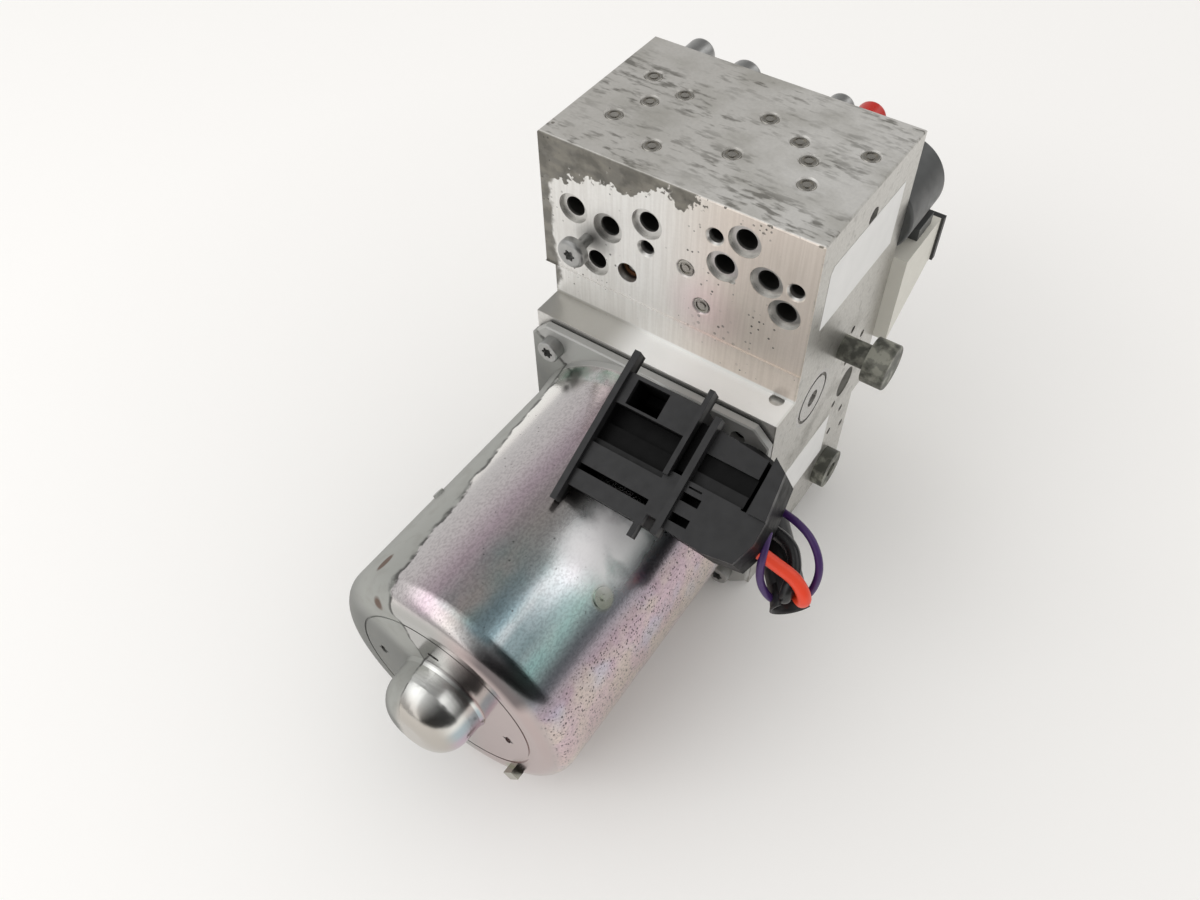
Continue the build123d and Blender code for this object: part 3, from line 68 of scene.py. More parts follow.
def cord_curve(name, points, radius):
    data = bpy.data.curves.new(name, "CURVE")
    data.dimensions = "3D"
    data.bevel_depth = radius
    data.bevel_resolution = 6
    data.resolution_u = 12
    spline = data.splines.new("NURBS")
    spline.points.add(len(points) - 1)
    for target, point in zip(spline.points, points):
        target.co = (*point, 1.0)
    spline.order_u = 3
    spline.use_endpoint_u = True
    data.use_fill_caps = True
    made = bpy.data.objects.new(name, data)
    SCENE.collection.objects.link(made)
    return made


# ------------------------------------------------------------------ shader building
def node(tree, kind, **values):
    made = tree.nodes.new(kind)
    for key, value in values.items():
        if hasattr(made, key) and key not in made.inputs:
            setattr(made, key, value)
        else:
            made.inputs[key].default_value = value
    return made


def link(tree, source, target):
    tree.links.new(source, target)


def effect(name, inputs, outputs):
    tree = bpy.data.node_groups.new(name, "ShaderNodeTree")
    for label, kind, value in inputs:
        socket = tree.interface.new_socket(name=label, in_out="INPUT", socket_type=kind)
        if value is not None:
            socket.default_value = value
    for label, kind in outputs:
        tree.interface.new_socket(name=label, in_out="OUTPUT", socket_type=kind)
    return tree, tree.nodes.new("NodeGroupInput"), tree.nodes.new("NodeGroupOutput")


FLOAT, VECTOR = "NodeSocketFloat", "NodeSocketVector"


def make_cloud_mask():
    """Noise stretched by Stretch, cut between Low and High to a mask."""
    tree, inp, out = effect("cloud_mask", [
        ("Vector", VECTOR, None), ("Stretch", VECTOR, (1, 1, 1)), ("Scale", FLOAT, 100.0), ("Detail", FLOAT, 4.0),
        ("Low", FLOAT, 0.45), ("High", FLOAT, 0.6)], [("Mask", FLOAT), ("Noise", FLOAT)])
    scale = node(tree, "ShaderNodeVectorMath", operation="MULTIPLY")
    noise = node(tree, "ShaderNodeTexNoise")
    ramp = node(tree, "ShaderNodeMapRange")
    ramp.clamp = True
    link(tree, inp.outputs["Vector"], scale.inputs[0])
    link(tree, inp.outputs["Stretch"], scale.inputs[1])
    link(tree, scale.outputs[0], noise.inputs["Vector"])
    link(tree, inp.outputs["Scale"], noise.inputs["Scale"])
    link(tree, inp.outputs["Detail"], noise.inputs["Detail"])
    link(tree, noise.outputs[0], ramp.inputs["Value"])
    link(tree, inp.outputs["Low"], ramp.inputs["From Min"])
    link(tree, inp.outputs["High"], ramp.inputs["From Max"])
    link(tree, ramp.outputs[0], out.inputs["Mask"])
    link(tree, noise.outputs[0], out.inputs["Noise"])
    return tree


def make_dot_mask():
    """Small round specks of mixed size."""
    tree, inp, out = effect("dot_mask", [
        ("Vector", VECTOR, None), ("Scale", FLOAT, 400.0), ("Size", FLOAT, 0.2), ("Share", FLOAT, 0.5)],
        [("Mask", FLOAT)])
    cells = node(tree, "ShaderNodeTexVoronoi")
    pick = node(tree, "ShaderNodeSeparateColor")
    keep = node(tree, "ShaderNodeMath", operation="LESS_THAN")
    edge = node(tree, "ShaderNodeMath", operation="MULTIPLY")
    small = node(tree, "ShaderNodeMath", operation="LESS_THAN")
    both = node(tree, "ShaderNodeMath", operation="MULTIPLY")
    link(tree, inp.outputs["Vector"], cells.inputs["Vector"])
    link(tree, inp.outputs["Scale"], cells.inputs["Scale"])
    link(tree, cells.outputs["Color"], pick.inputs[0])
    link(tree, pick.outputs[0], keep.inputs[0])
    link(tree, inp.outputs["Share"], keep.inputs[1])
    link(tree, pick.outputs[1], edge.inputs[0])
    link(tree, inp.outputs["Size"], edge.inputs[1])
    link(tree, cells.outputs["Distance"], small.inputs[0])
    link(tree, edge.outputs[0], small.inputs[1])
    link(tree, keep.outputs[0], both.inputs[0])
    link(tree, small.outputs[0], both.inputs[1])
    link(tree, both.outputs[0], out.inputs["Mask"])
    return tree


def make_span_mask():
    """0 at Start rising smoothly to 1 at End, for one coordinate."""
    tree, inp, out = effect("span_mask", [
        ("Value", FLOAT, 0.0), ("Start", FLOAT, 0.0), ("End", FLOAT, 1.0)], [("Mask", FLOAT)])
    ramp = node(tree, "ShaderNodeMapRange")
    ramp.clamp = True
    ramp.interpolation_type = "SMOOTHSTEP"
    link(tree, inp.outputs["Value"], ramp.inputs["Value"])
    link(tree, inp.outputs["Start"], ramp.inputs["From Min"])
    link(tree, inp.outputs["End"], ramp.inputs["From Max"])
    link(tree, ramp.outputs[0], out.inputs["Mask"])
    return tree


def make_spot_mask():
    """A soft-edged ellipsoid round Centre with the half sizes in Size."""
    tree, inp, out = effect("spot_mask", [
        ("Vector", VECTOR, None), ("Centre", VECTOR, (0, 0, 0)), ("Size", VECTOR, (1, 1, 1)), ("Soft", FLOAT, 0.2)],
        [("Mask", FLOAT)])
    away = node(tree, "ShaderNodeVectorMath", operation="SUBTRACT")
    scaled = node(tree, "ShaderNodeVectorMath", operation="DIVIDE")
    length = node(tree, "ShaderNodeVectorMath", operation="LENGTH")
    inner = node(tree, "ShaderNodeMath", operation="SUBTRACT")
    inner.inputs[0].default_value = 1.0
    ramp = node(tree, "ShaderNodeMapRange")
    ramp.clamp = True
    ramp.inputs["From Max"].default_value = 1.0
    ramp.inputs["To Min"].default_value = 1.0
    ramp.inputs["To Max"].default_value = 0.0
    link(tree, inp.outputs["Vector"], away.inputs[0])
    link(tree, inp.outputs["Centre"], away.inputs[1])
    link(tree, away.outputs[0], scaled.inputs[0])
    link(tree, inp.outputs["Size"], scaled.inputs[1])
    link(tree, scaled.outputs[0], length.inputs[0])
    link(tree, length.outputs["Value"], ramp.inputs["Value"])
    link(tree, inp.outputs["Soft"], inner.inputs[1])
    link(tree, inner.outputs[0], ramp.inputs["From Min"])
    link(tree, ramp.outputs[0], out.inputs["Mask"])
    return tree


def make_round_angle():
    """Angle about the motor axis, 0 at the top and growing towards +X, in degrees."""
    tree, inp, out = effect("round_angle", [
        ("Vector", VECTOR, None), ("Axis height", FLOAT, 0.0462)], [("Angle", FLOAT)])
    split = node(tree, "ShaderNodeSeparateXYZ")
    lower = node(tree, "ShaderNodeMath", operation="SUBTRACT")
    angle = node(tree, "ShaderNodeMath", operation="ARCTAN2")
    degrees = node(tree, "ShaderNodeMath", operation="DEGREES")
    link(tree, inp.outputs["Vector"], split.inputs[0])
    link(tree, split.outputs[2], lower.inputs[0])
    link(tree, inp.outputs["Axis height"], lower.inputs[1])
    link(tree, split.outputs[0], angle.inputs[0])
    link(tree, lower.outputs[0], angle.inputs[1])
    link(tree, angle.outputs[0], degrees.inputs[0])
    link(tree, degrees.outputs[0], out.inputs["Angle"])
    return tree


CLOUD = make_cloud_mask()
DOTS = make_dot_mask()
SPAN = make_span_mask()
SPOT = make_spot_mask()
ANGLE = make_round_angle()


def set_stops(color_ramp, stops):
    """Give a colour ramp its stops (position, colour), first and last by its own two elements."""
    for element, (at, color) in ((color_ramp.elements[1], stops[-1]), (color_ramp.elements[0], stops[0])):
        element.position = at
        element.color = (*color, 1)
    for at, color in stops[1:-1]:
        color_ramp.elements.new(at).color = (*color, 1)


class Paint:
    """A material under construction: its Principled shader and a running base colour."""

    def __init__(self, name, color, rough, metal=0.0, spec=0.5, coat=0.0):
        self.mat = bpy.data.materials.new(name)
        self.mat.use_nodes = True
        self.tree = self.mat.node_tree
        self.shader = next(n for n in self.tree.nodes if n.type == "BSDF_PRINCIPLED")
        self.shader.inputs["Roughness"].default_value = rough
        self.shader.inputs["Metallic"].default_value = metal
        self.shader.inputs["Specular IOR Level"].default_value = spec
        self.shader.inputs["Coat Weight"].default_value = coat
        coords = node(self.tree, "ShaderNodeTexCoord")
        self.place = coords.outputs["Object"]
        split = node(self.tree, "ShaderNodeSeparateXYZ")
        link(self.tree, self.place, split.inputs[0])
        self.x, self.y, self.z = split.outputs
        rgb = node(self.tree, "ShaderNodeRGB")
        rgb.outputs[0].default_value = (*color, 1)
        self.color = rgb.outputs[0]

    def use(self, group, **values):
        made = self.tree.nodes.new("ShaderNodeGroup")
        made.node_tree = group
        for key, value in values.items():
            if isinstance(value, bpy.types.NodeSocket):
                link(self.tree, value, made.inputs[key])
            else:
                made.inputs[key].default_value = value
        return made.outputs[0]

    def cloud(self, scale, low, high, stretch=(1, 1, 1), detail=4.0):
        return self.use(CLOUD, Vector=self.place, Stretch=stretch, Scale=scale, Detail=detail, Low=low, High=high)

    def dots(self, scale, size, share):
        return self.use(DOTS, Vector=self.place, Scale=scale, Size=size, Share=share)

    def span(self, value, start, end):
        return self.use(SPAN, Value=value, Start=start, End=end)

    def spot(self, centre, size, soft=0.2):
        return self.use(SPOT, Vector=self.place, Centre=centre, Size=size, Soft=soft)

    def spots(self, places, size, soft=0.2):
        result = self.spot(places[0], size, soft)
        for place in places[1:]:
            result = self.math("MAXIMUM", result, self.spot(place, size, soft))
        return result

    def ramp(self, value, low, high, stops):
        """Colour by value, between low and high, through given stops (value, colour)."""
        scaled = node(self.tree, "ShaderNodeMapRange")
        scaled.inputs["From Min"].default_value = low
        scaled.inputs["From Max"].default_value = high
        link(self.tree, value, scaled.inputs["Value"])
        made = node(self.tree, "ShaderNodeValToRGB")
        set_stops(made.color_ramp, [((at - low) / (high - low), color) for at, color in stops])
        link(self.tree, scaled.outputs[0], made.inputs[0])
        return made.outputs[0]

    def math(self, operation, a, b):
        made = node(self.tree, "ShaderNodeMath", operation=operation)
        for index, value in enumerate((a, b)):
            if isinstance(value, bpy.types.NodeSocket):
                link(self.tree, value, made.inputs[index])
            else:
                made.inputs[index].default_value = value
        return made.outputs[0]

    def times(self, *masks):
        result = masks[0]
        for mask in masks[1:]:
            result = self.math("MULTIPLY", result, mask)
        return result

    def mix(self, mask, color, kind="MIX"):
        made = node(self.tree, "ShaderNodeMix", data_type="RGBA", blend_type=kind)
        if isinstance(mask, bpy.types.NodeSocket):
            link(self.tree, mask, made.inputs[0])
        else:
            made.inputs[0].default_value = mask
        link(self.tree, self.color, made.inputs[6])
        if isinstance(color, bpy.types.NodeSocket):
            link(self.tree, color, made.inputs[7])
        else:
            made.inputs[7].default_value = (*color, 1)
        self.color = made.outputs[2]
        return self

    def vary(self, socket, mask, low, high):
        """Drive a shader value by a mask, from low to high."""
        ramp = node(self.tree, "ShaderNodeMapRange")
        ramp.inputs["To Min"].default_value = low
        ramp.inputs["To Max"].default_value = high
        link(self.tree, mask, ramp.inputs["Value"])
        link(self.tree, ramp.outputs[0], self.shader.inputs[socket])
        return self

    def bump(self, height, strength, distance):
        made = node(self.tree, "ShaderNodeBump")
        made.inputs["Strength"].default_value = strength
        made.inputs["Distance"].default_value = distance
        link(self.tree, height, made.inputs["Height"])
        link(self.tree, made.outputs[0], self.shader.inputs["Normal"])
        return self

    def done(self):
        link(self.tree, self.color, self.shader.inputs["Base Color"])
        return self.mat


def block_metal():
    p = Paint("milled_aluminium", (0.70, 0.69, 0.665), 0.34, metal=0.85)
    fine = p.cloud(900.0, 0.3, 0.7, detail=2.0)
    p.mix(p.times(fine, 0.25), (0.46, 0.45, 0.43))
    broad = p.cloud(22.0, 0.40, 0.62, detail=3.0)
    # top face: short dark strokes of old oil lying along the block, denser in patches and towards the left
    top = p.span(p.z, 0.1574, 0.1580)
    leftward = p.span(p.x, 0.040, -0.030)
    p.mix(p.times(top, leftward, 0.40), (0.36, 0.34, 0.31))
    haze = p.cloud(75.0, 0.45, 0.70, stretch=(0.75, 1.0, 1.0), detail=8.0)
    p.mix(p.times(top, haze, 0.40), (0.25, 0.24, 0.20))
    strokes = p.cloud(420.0, 0.50, 0.63, stretch=(0.40, 1.3, 1.0), detail=7.0)
    patches = p.cloud(45.0, 0.38, 0.58, stretch=(0.6, 1.0, 1.0), detail=3.0)
    p.mix(p.times(top, strokes, patches, 0.75), (0.09, 0.085, 0.07))
    # front face: brown-black oil hanging from the top edge, deep at the left end and thin at the right
    front = p.span(p.y, -0.0330, -0.0334)
    above_ledge = p.span(p.z, 0.0945, 0.0950)
    below_top = p.math("SUBTRACT", 0.1585, p.z)
    ragged = p.cloud(130.0, 0.25, 0.75, stretch=(1.0, 1.0, 0.8), detail=8.0)
    frayed = p.math("MULTIPLY", p.cloud(560.0, 0.25, 0.75, detail=6.0), 0.006)
    reach = p.math("ADD", p.math("ADD", below_top, p.math("MULTIPLY", ragged, 0.014)), frayed)
    depth = node(p.tree, "ShaderNodeMapRange")
    depth.inputs["From Min"].default_value = -0.052
    depth.inputs["From Max"].default_value = 0.020
    depth.inputs["To Min"].default_value = 0.026
    depth.inputs["To Max"].default_value = 0.0085
    link(p.tree, p.x, depth.inputs["Value"])
    inside = p.math("SUBTRACT", depth.outputs[0], reach)
    hanging = p.span(inside, 0.0, 0.0012)
    end_strip = p.span(p.math("ADD", p.x, p.math("MULTIPLY", ragged, 0.006)), -0.0435, -0.0455)
    stain = p.math("MAXIMUM", hanging, p.times(end_strip, 0.9))
    # painted reflection: the front face above the ledge is painted lighter, near white, standing in for the bright
    # ledge it mirrors
    p.mix(p.times(front, above_ledge, 0.55), (0.92, 0.91, 0.885))
    milled = p.cloud(900.0, 0.40, 0.60, stretch=(1.2, 1.0, 0.05), detail=2.0)
    p.mix(p.times(front, above_ledge, milled, 0.20), (0.52, 0.49, 0.45))
    mottle = p.cloud(260.0, 0.38, 0.60, stretch=(0.6, 1.0, 1.6), detail=5.0)
    warm = p.span(p.x, -0.012, 0.022)
    p.mix(p.times(front, above_ledge, warm, 0.60), (0.98, 0.83, 0.72), "MULTIPLY")
    # painted reflection: a rosy tint on the front face where it mirrors the pink can
    rosy_can_reflection = p.spot((0.012, -0.034, 0.116), (0.016, 0.010, 0.016), 0.9)
    p.mix(p.times(rosy_can_reflection, 0.5), (0.95, 0.74, 0.86), "MULTIPLY")
    p.mix(p.times(front, above_ledge, stain, 0.92), (0.075, 0.068, 0.052))
    p.mix(p.times(front, above_ledge, stain, mottle, 0.60), (0.21, 0.195, 0.16))
    p.mix(p.times(front, above_ledge, stain, p.cloud(150.0, 0.46, 0.60, detail=6.0), 0.55), (0.022, 0.020, 0.015))
    smudge = p.spot((-0.031, -0.034, 0.125), (0.009, 0.006, 0.007), 0.9)
    p.mix(p.times(smudge, 0.85), (0.03, 0.03, 0.028))
    # painted shade: the drillings are darkened from just below their rims
    in_block = p.times(p.span(p.y, -0.0322, -0.0306), p.span(p.y, 0.0000, -0.0100), p.span(p.z, 0.0955, 0.0965),
                       p.span(p.z, 0.1578, 0.1568), p.span(p.x, 0.0472, 0.0462))
    upper = p.span(p.z, 0.1060, 0.1070)
    from_left = p.math("MAXIMUM", p.span(p.x, -0.0466, -0.0456), p.times(upper, p.span(p.x, -0.0515, -0.0505)))
    hole_shade = p.times(in_block, from_left)
    p.mix(p.times(hole_shade, 0.93), (0.012, 0.012, 0.011))
    # black grit round the ports, on the ledge and along its corner
    grit = p.times(p.dots(520.0, 0.34, 0.30), p.cloud(70.0, 0.50, 0.62, detail=2.0), above_ledge)
    p.mix(p.times(grit, front, 0.9), (0.02, 0.018, 0.015))
    thick_grit = p.times(p.spots([(0.0150, -0.0335, 0.1120), (0.0190, -0.0335, 0.1030), (0.0330, -0.0400, 0.0942)],
                                 (0.0090, 0.0060, 0.0080), 0.9), p.dots(430.0, 0.42, 0.55))
    p.mix(p.times(thick_grit, 0.9), (0.02, 0.018, 0.015))
    # painted highlight: the ledge top is painted near white and greyer towards its left end, with dark grit specks
    ledge = p.times(p.span(p.z, 0.0938, 0.0940), p.span(p.z, 0.0960, 0.0950), p.span(p.y, -0.0330, -0.0340))
    p.mix(p.times(ledge, 0.95), (0.97, 0.97, 0.955))
    p.mix(p.times(ledge, p.span(p.x, -0.006, -0.022)), (0.50, 0.49, 0.46))
    p.mix(p.times(ledge, p.dots(300.0, 0.20, 0.10), 0.9), (0.05, 0.05, 0.045))
    bright = p.times(ledge, p.span(p.x, -0.050, -0.005))
    # right face: plain light grey, darkened a little overall by painted shade; darker in patches towards the bottom,
    # with oil round the small holes
    side = p.span(p.x, 0.0470, 0.0476)
    p.mix(p.times(side, 0.5), (0.72, 0.71, 0.68), "MULTIPLY")
    low_patches = p.times(side, p.cloud(55.0, 0.50, 0.68, detail=6.0), p.span(p.z, 0.110, 0.085))
    p.mix(p.times(low_patches, 0.65), (0.16, 0.15, 0.12))
    p.mix(p.times(side, p.cloud(300.0, 0.58, 0.70, detail=3.0), 0.35), (0.20, 0.19, 0.17))
    p.mix(p.times(broad, 0.12), (0.40, 0.38, 0.33))
    p.vary("Roughness", fine, 0.28, 0.44)
    oily = p.times(front, above_ledge, stain)
    worn = p.math("MAXIMUM", p.times(top, 0.65), p.times(front, above_ledge, 0.60))
    soft = p.math("MAXIMUM", p.math("MAXIMUM", bright, oily), worn)
    p.vary("Metallic", soft, 0.85, 0.10)
    lines = p.cloud(1500.0, 0.0, 1.0, stretch=(1.0, 1.0, 0.15), detail=2.0)
    p.bump(lines, 0.15, 0.0002)
    return p.done()


def can_metal():
    p = Paint("zinc_plate", (0.72, 0.72, 0.71), 0.18, metal=1.0)
    angle = p.use(ANGLE, Vector=p.place)
    sway = p.cloud(28.0, 0.2, 0.8, stretch=(1.0, 0.3, 1.0), detail=2.0)
    sway = p.math("MULTIPLY", p.math("SUBTRACT", sway, 0.5), 9.0)
    turned = p.math("ADD", angle, sway)
    # colour round the can by angle: the plating's pink and green tint, with painted reflections in it, a bright white
    # band near 31 degrees and a dark band near 52
    tint_and_reflection_bands = p.ramp(turned, -100.0, 100.0, [
        (-40.0, (0.82, 0.82, 0.79)), (-17.0, (0.82, 0.76, 0.76)), (-6.0, (0.80, 0.65, 0.72)),
        (6.0, (0.76, 0.70, 0.67)), (20.0, (0.70, 0.72, 0.72)), (31.0, (0.90, 0.87, 0.91)),
        (42.0, (0.50, 0.66, 0.62)), (52.0, (0.36, 0.38, 0.42)), (60.0, (0.44, 0.34, 0.39)), (69.0, (0.64, 0.50, 0.56)),
        (95.0, (0.68, 0.54, 0.52))])
    p.mix(1.0, tint_and_reflection_bands)
    nose = p.span(p.y, -0.1612, -0.1618)
    near_end = p.times(p.span(p.y, -0.112, -0.145), p.span(p.y, -0.1560, -0.1535))
    facing = p.times(p.span(turned, -8.0, 6.0), p.span(turned, 52.0, 40.0))
    teal = p.cloud(55.0, 0.42, 0.60, stretch=(1.0, 0.6, 1.0), detail=3.0)
    p.mix(p.times(near_end, facing, teal, 0.75), (0.34, 0.60, 0.58))
    # painted reflections near the can's end: a blue-grey band and a dark band
    end_reflection_band = p.times(p.span(p.y, -0.120, -0.147), p.span(p.y, -0.1575, -0.1540))
    p.mix(p.times(end_reflection_band, p.span(turned, 9.0, 16.0), p.span(turned, 26.0, 21.0)), (0.38, 0.52, 0.57))
    p.mix(p.times(end_reflection_band, p.span(turned, 20.0, 29.0), p.span(turned, 47.0, 34.0), 0.9), (0.14, 0.21, 0.22))
    rainbow = p.cloud(75.0, 0.45, 0.62, detail=2.0)
    p.mix(p.times(p.span(turned, 55.0, 64.0), rainbow, 0.35), (0.72, 0.70, 0.50))
    p.mix(p.times(p.span(turned, 55.0, 64.0), p.cloud(60.0, 0.55, 0.68, detail=2.0), 0.35), (0.55, 0.62, 0.80))
    # black specks where the plating has bloomed
    bloom = p.times(p.span(angle, 50.0, 64.0), p.dots(1150.0, 0.46, 0.85))
    p.mix(p.times(bloom, 0.80), (0.05, 0.045, 0.05))
    p.mix(p.times(p.dots(700.0, 0.22, 0.10), 0.8), (0.06, 0.05, 0.05))
    grain = p.cloud(1500.0, 0.44, 0.60, stretch=(1.0, 0.6, 1.0), detail=3.0)
    p.mix(p.times(grain, p.span(p.x, -0.026, -0.012), 0.42), (0.55, 0.54, 0.54), "MULTIPLY")
    # end face and nose: flatter colour, rose and pale blue on the nose's lower right
    end_zone = p.span(p.y, -0.1575, -0.1605)
    p.mix(end_zone, (0.46, 0.455, 0.44))
    rosy_end = p.times(end_zone, p.span(p.x, 0.000, 0.014))
    p.mix(rosy_end, (0.52, 0.43, 0.42))
    p.mix(nose, (0.80, 0.80, 0.77))
    p.mix(p.times(nose, p.span(angle, 60.0, 72.0)), (0.44, 0.52, 0.56))
    p.mix(p.times(nose, p.span(angle, 76.0, 92.0)), (0.58, 0.47, 0.56))
    p.mix(p.times(nose, p.span(p.y, -0.1705, -0.1755)), (0.52, 0.49, 0.45))
    # painted dark reflection on the rounded shoulder near the can's end
    shoulder_dark_reflection = p.times(p.span(p.y, -0.1550, -0.1575), p.span(p.y, -0.1612, -0.1602))
    p.mix(p.times(shoulder_dark_reflection, p.span(angle, 14.0, 28.0), p.span(angle, 56.0, 48.0), 0.8), (0.10, 0.09, 0.095))
    # flange: dull and neutral, with a green line where the can meets it
    flange = p.span(p.y, -0.0525, -0.0515)
    p.mix(flange, (0.42, 0.42, 0.405))
    root = p.times(p.span(p.y, -0.0600, -0.0570), p.span(p.y, -0.0518, -0.0535))
    p.mix(p.times(root, p.cloud(120.0, 0.35, 0.6, detail=3.0), 0.6), (0.36, 0.60, 0.48))
    # matt grey coat over the left side, with a ragged dark rim
    wobble = p.math("SUBTRACT", p.cloud(110.0, 0.15, 0.85, detail=7.0), 0.5)
    slope = node(p.tree, "ShaderNodeMapRange")
    slope.clamp = False
    slope.inputs["From Min"].default_value = -0.0645
    slope.inputs["From Max"].default_value = -0.153
    slope.inputs["To Min"].default_value = -43.0
    slope.inputs["To Max"].default_value = -22.5
    link(p.tree, p.y, slope.inputs["Value"])
    past_edge = p.math("SUBTRACT", p.math("ADD", angle, p.math("MULTIPLY", wobble, 7.0)), slope.outputs[0])
    on_left = p.span(p.x, -0.002, -0.006)
    coat = p.times(p.span(past_edge, 0.3, -0.3), on_left)
    rim = p.times(p.span(past_edge, -2.6, -0.4), p.span(past_edge, 1.2, 0.2), on_left)
    p.mix(coat, (0.345, 0.35, 0.33))
    # painted shade: the coat darkens towards the lower left, where the can turns away from the light
    p.mix(p.times(coat, p.span(angle, -40.0, -68.0)), (0.19, 0.193, 0.183))
    p.mix(p.times(coat, p.cloud(200.0, 0.5, 0.66, detail=5.0), 0.3), (0.24, 0.235, 0.21))
    p.mix(p.times(rim, p.cloud(240.0, 0.36, 0.52, detail=4.0), 0.9), (0.06, 0.06, 0.055))
    # slits on the end painted as dark marks, painted shade standing in for their recesses, and rust
    end = p.span(p.y, -0.1555, -0.1560)
    slit_shade = p.spots([(-0.0265, -0.161, 0.0452), (-0.0009, -0.161, 0.0681), (0.0246, -0.161, 0.0413)],
                    (0.0022, 0.003, 0.0012), 0.25)
    olive = p.math("MAXIMUM", p.spot((0.0324, -0.120, 0.0775), (0.0046, 0.0046, 0.0046), 0.35),
                   p.spot((0.0248, -0.163, 0.0169), (0.0052, 0.0040, 0.0052), 0.25))
    p.mix(p.times(olive, 0.75), (0.36, 0.38, 0.27))
    p.mix(p.times(slit_shade, end, 0.92), (0.03, 0.028, 0.025))
    rust = p.math("MAXIMUM", p.spot((-0.0205, -0.159, 0.0790), (0.0028, 0.003, 0.0030), 0.3),
                  p.spot((-0.0275, -0.1495, 0.0817), (0.0018, 0.0040, 0.0018), 0.3))
    p.mix(p.times(rust, 0.9), (0.10, 0.05, 0.03))
    # painted highlight: patchy white on the can beside the bracket
    white_highlight_patch = p.times(p.span(p.y, -0.0860, -0.0960), p.span(p.y, -0.1270, -0.1120), p.span(angle, 12.0, 27.0),
                   p.span(angle, 54.0, 40.0), p.cloud(90.0, 0.20, 0.52, detail=7.0))
    p.mix(p.times(white_highlight_patch, 0.9), (0.95, 0.94, 0.95))
    matt = p.math("MAXIMUM", p.math("MAXIMUM", coat, white_highlight_patch), p.times(flange, 0.8))
    dull = p.math("MAXIMUM", matt, p.math("MAXIMUM", rust, slit_shade))
    p.vary("Roughness", dull, 0.19, 0.55)
    p.vary("Metallic", dull, 1.0, 0.30)
    brushed = p.cloud(1100.0, 0.0, 1.0, stretch=(0.25, 1.0, 0.25), detail=3.0)
    p.bump(brushed, 0.10, 0.0002)
    return p.done()


def plain(name, color, rough, metal=0.0, spec=0.5, scale=500.0, shade=0.25, bump=0.05):
    """A base finish with fine unevenness in its colour, roughness and surface."""
    p = Paint(name, color, rough, metal, spec)
    grain = p.cloud(scale, 0.3, 0.7, detail=5.0)
    p.mix(p.times(grain, shade), tuple(c * 0.55 for c in color))
    p.vary("Roughness", grain, max(0.05, rough - 0.06), min(1.0, rough + 0.08))
    p.bump(p.cloud(scale * 2, 0.0, 1.0, detail=3.0), bump, 0.0003)
    return p.done()


def stained_stud():
    p = Paint("stained_stud", (0.30, 0.30, 0.255), 0.5, metal=0.3)
    p.mix(p.times(p.cloud(170.0, 0.42, 0.56, detail=6.0), 0.85), (0.045, 0.047, 0.038))
    p.mix(p.times(p.cloud(420.0, 0.50, 0.62, detail=4.0), 0.6), (0.10, 0.10, 0.085))
    p.bump(p.cloud(600.0, 0.0, 1.0, detail=4.0), 0.2, 0.0003)
    return p.done()


def bracket_plastic():
    p = Paint("black_plastic", (0.018, 0.018, 0.019), 0.42, spec=0.4)
    grain = p.cloud(300.0, 0.3, 0.7, detail=5.0)
    p.mix(p.times(grain, 0.25), (0.010, 0.010, 0.0105))
    # height above the sloping face: the pockets between the fins are painted much darker, as painted shade
    height = p.math("ADD", p.math("MULTIPLY", p.y, -0.4695), p.math("MULTIPLY", p.z, 0.8829))
    pocket_shade = p.span(height, 0.13180, 0.13040)
    p.mix(p.times(pocket_shade, 0.85), (0.003, 0.003, 0.003))
    p.vary("Specular IOR Level", pocket_shade, 0.4, 0.08)
    p.vary("Roughness", grain, 0.36, 0.50)
    p.bump(p.cloud(600.0, 0.0, 1.0, detail=3.0), 0.05, 0.0003)
    return p.done()


FINISHES = {
    "valve_block": block_metal(),
    "motor_can": can_metal(),
    "connector_bracket": bracket_plastic(),
    "steel": plain("bare_steel", (0.42, 0.42, 0.41), 0.35, metal=0.9),
    "turned": plain("turned_aluminium", (0.58, 0.57, 0.55), 0.3, metal=0.9),
    "copper": plain("enamelled_copper", (0.55, 0.24, 0.09), 0.3, metal=0.9),
    "rubber": plain("black_rubber", (0.012, 0.012, 0.012), 0.5, spec=0.3),
    "magnet": plain("sintered_magnet", (0.06, 0.06, 0.065), 0.55),
    "carbon": plain("pressed_carbon", (0.02, 0.02, 0.02), 0.7),
    "moulded": plain("dark_moulding", (0.03, 0.03, 0.03), 0.5),
    "cream": plain("cream_moulding", (0.70, 0.685, 0.62), 0.45, scale=200.0, shade=0.06),
    "board": plain("green_board", (0.02, 0.12, 0.05), 0.4),
    "shroud": plain("grey_moulding", (0.066, 0.069, 0.069), 0.38, scale=250.0),
    "red": plain("red_moulding", (0.55, 0.02, 0.01), 0.3, shade=0.1),
    "brass": plain("plated_brass", (0.60, 0.45, 0.2), 0.25, metal=1.0),
    "label": plain("blank_paper", (0.80, 0.80, 0.79), 0.5, scale=150.0, shade=0.08, bump=0.02),
    "stud": stained_stud(),
    "plug": plain("staked_plug", (0.46, 0.44, 0.40), 0.24, metal=0.85, scale=400.0, shade=0.6),
    "ring": plain("brown_ring", (0.16, 0.07, 0.03), 0.4, metal=0.5),
}
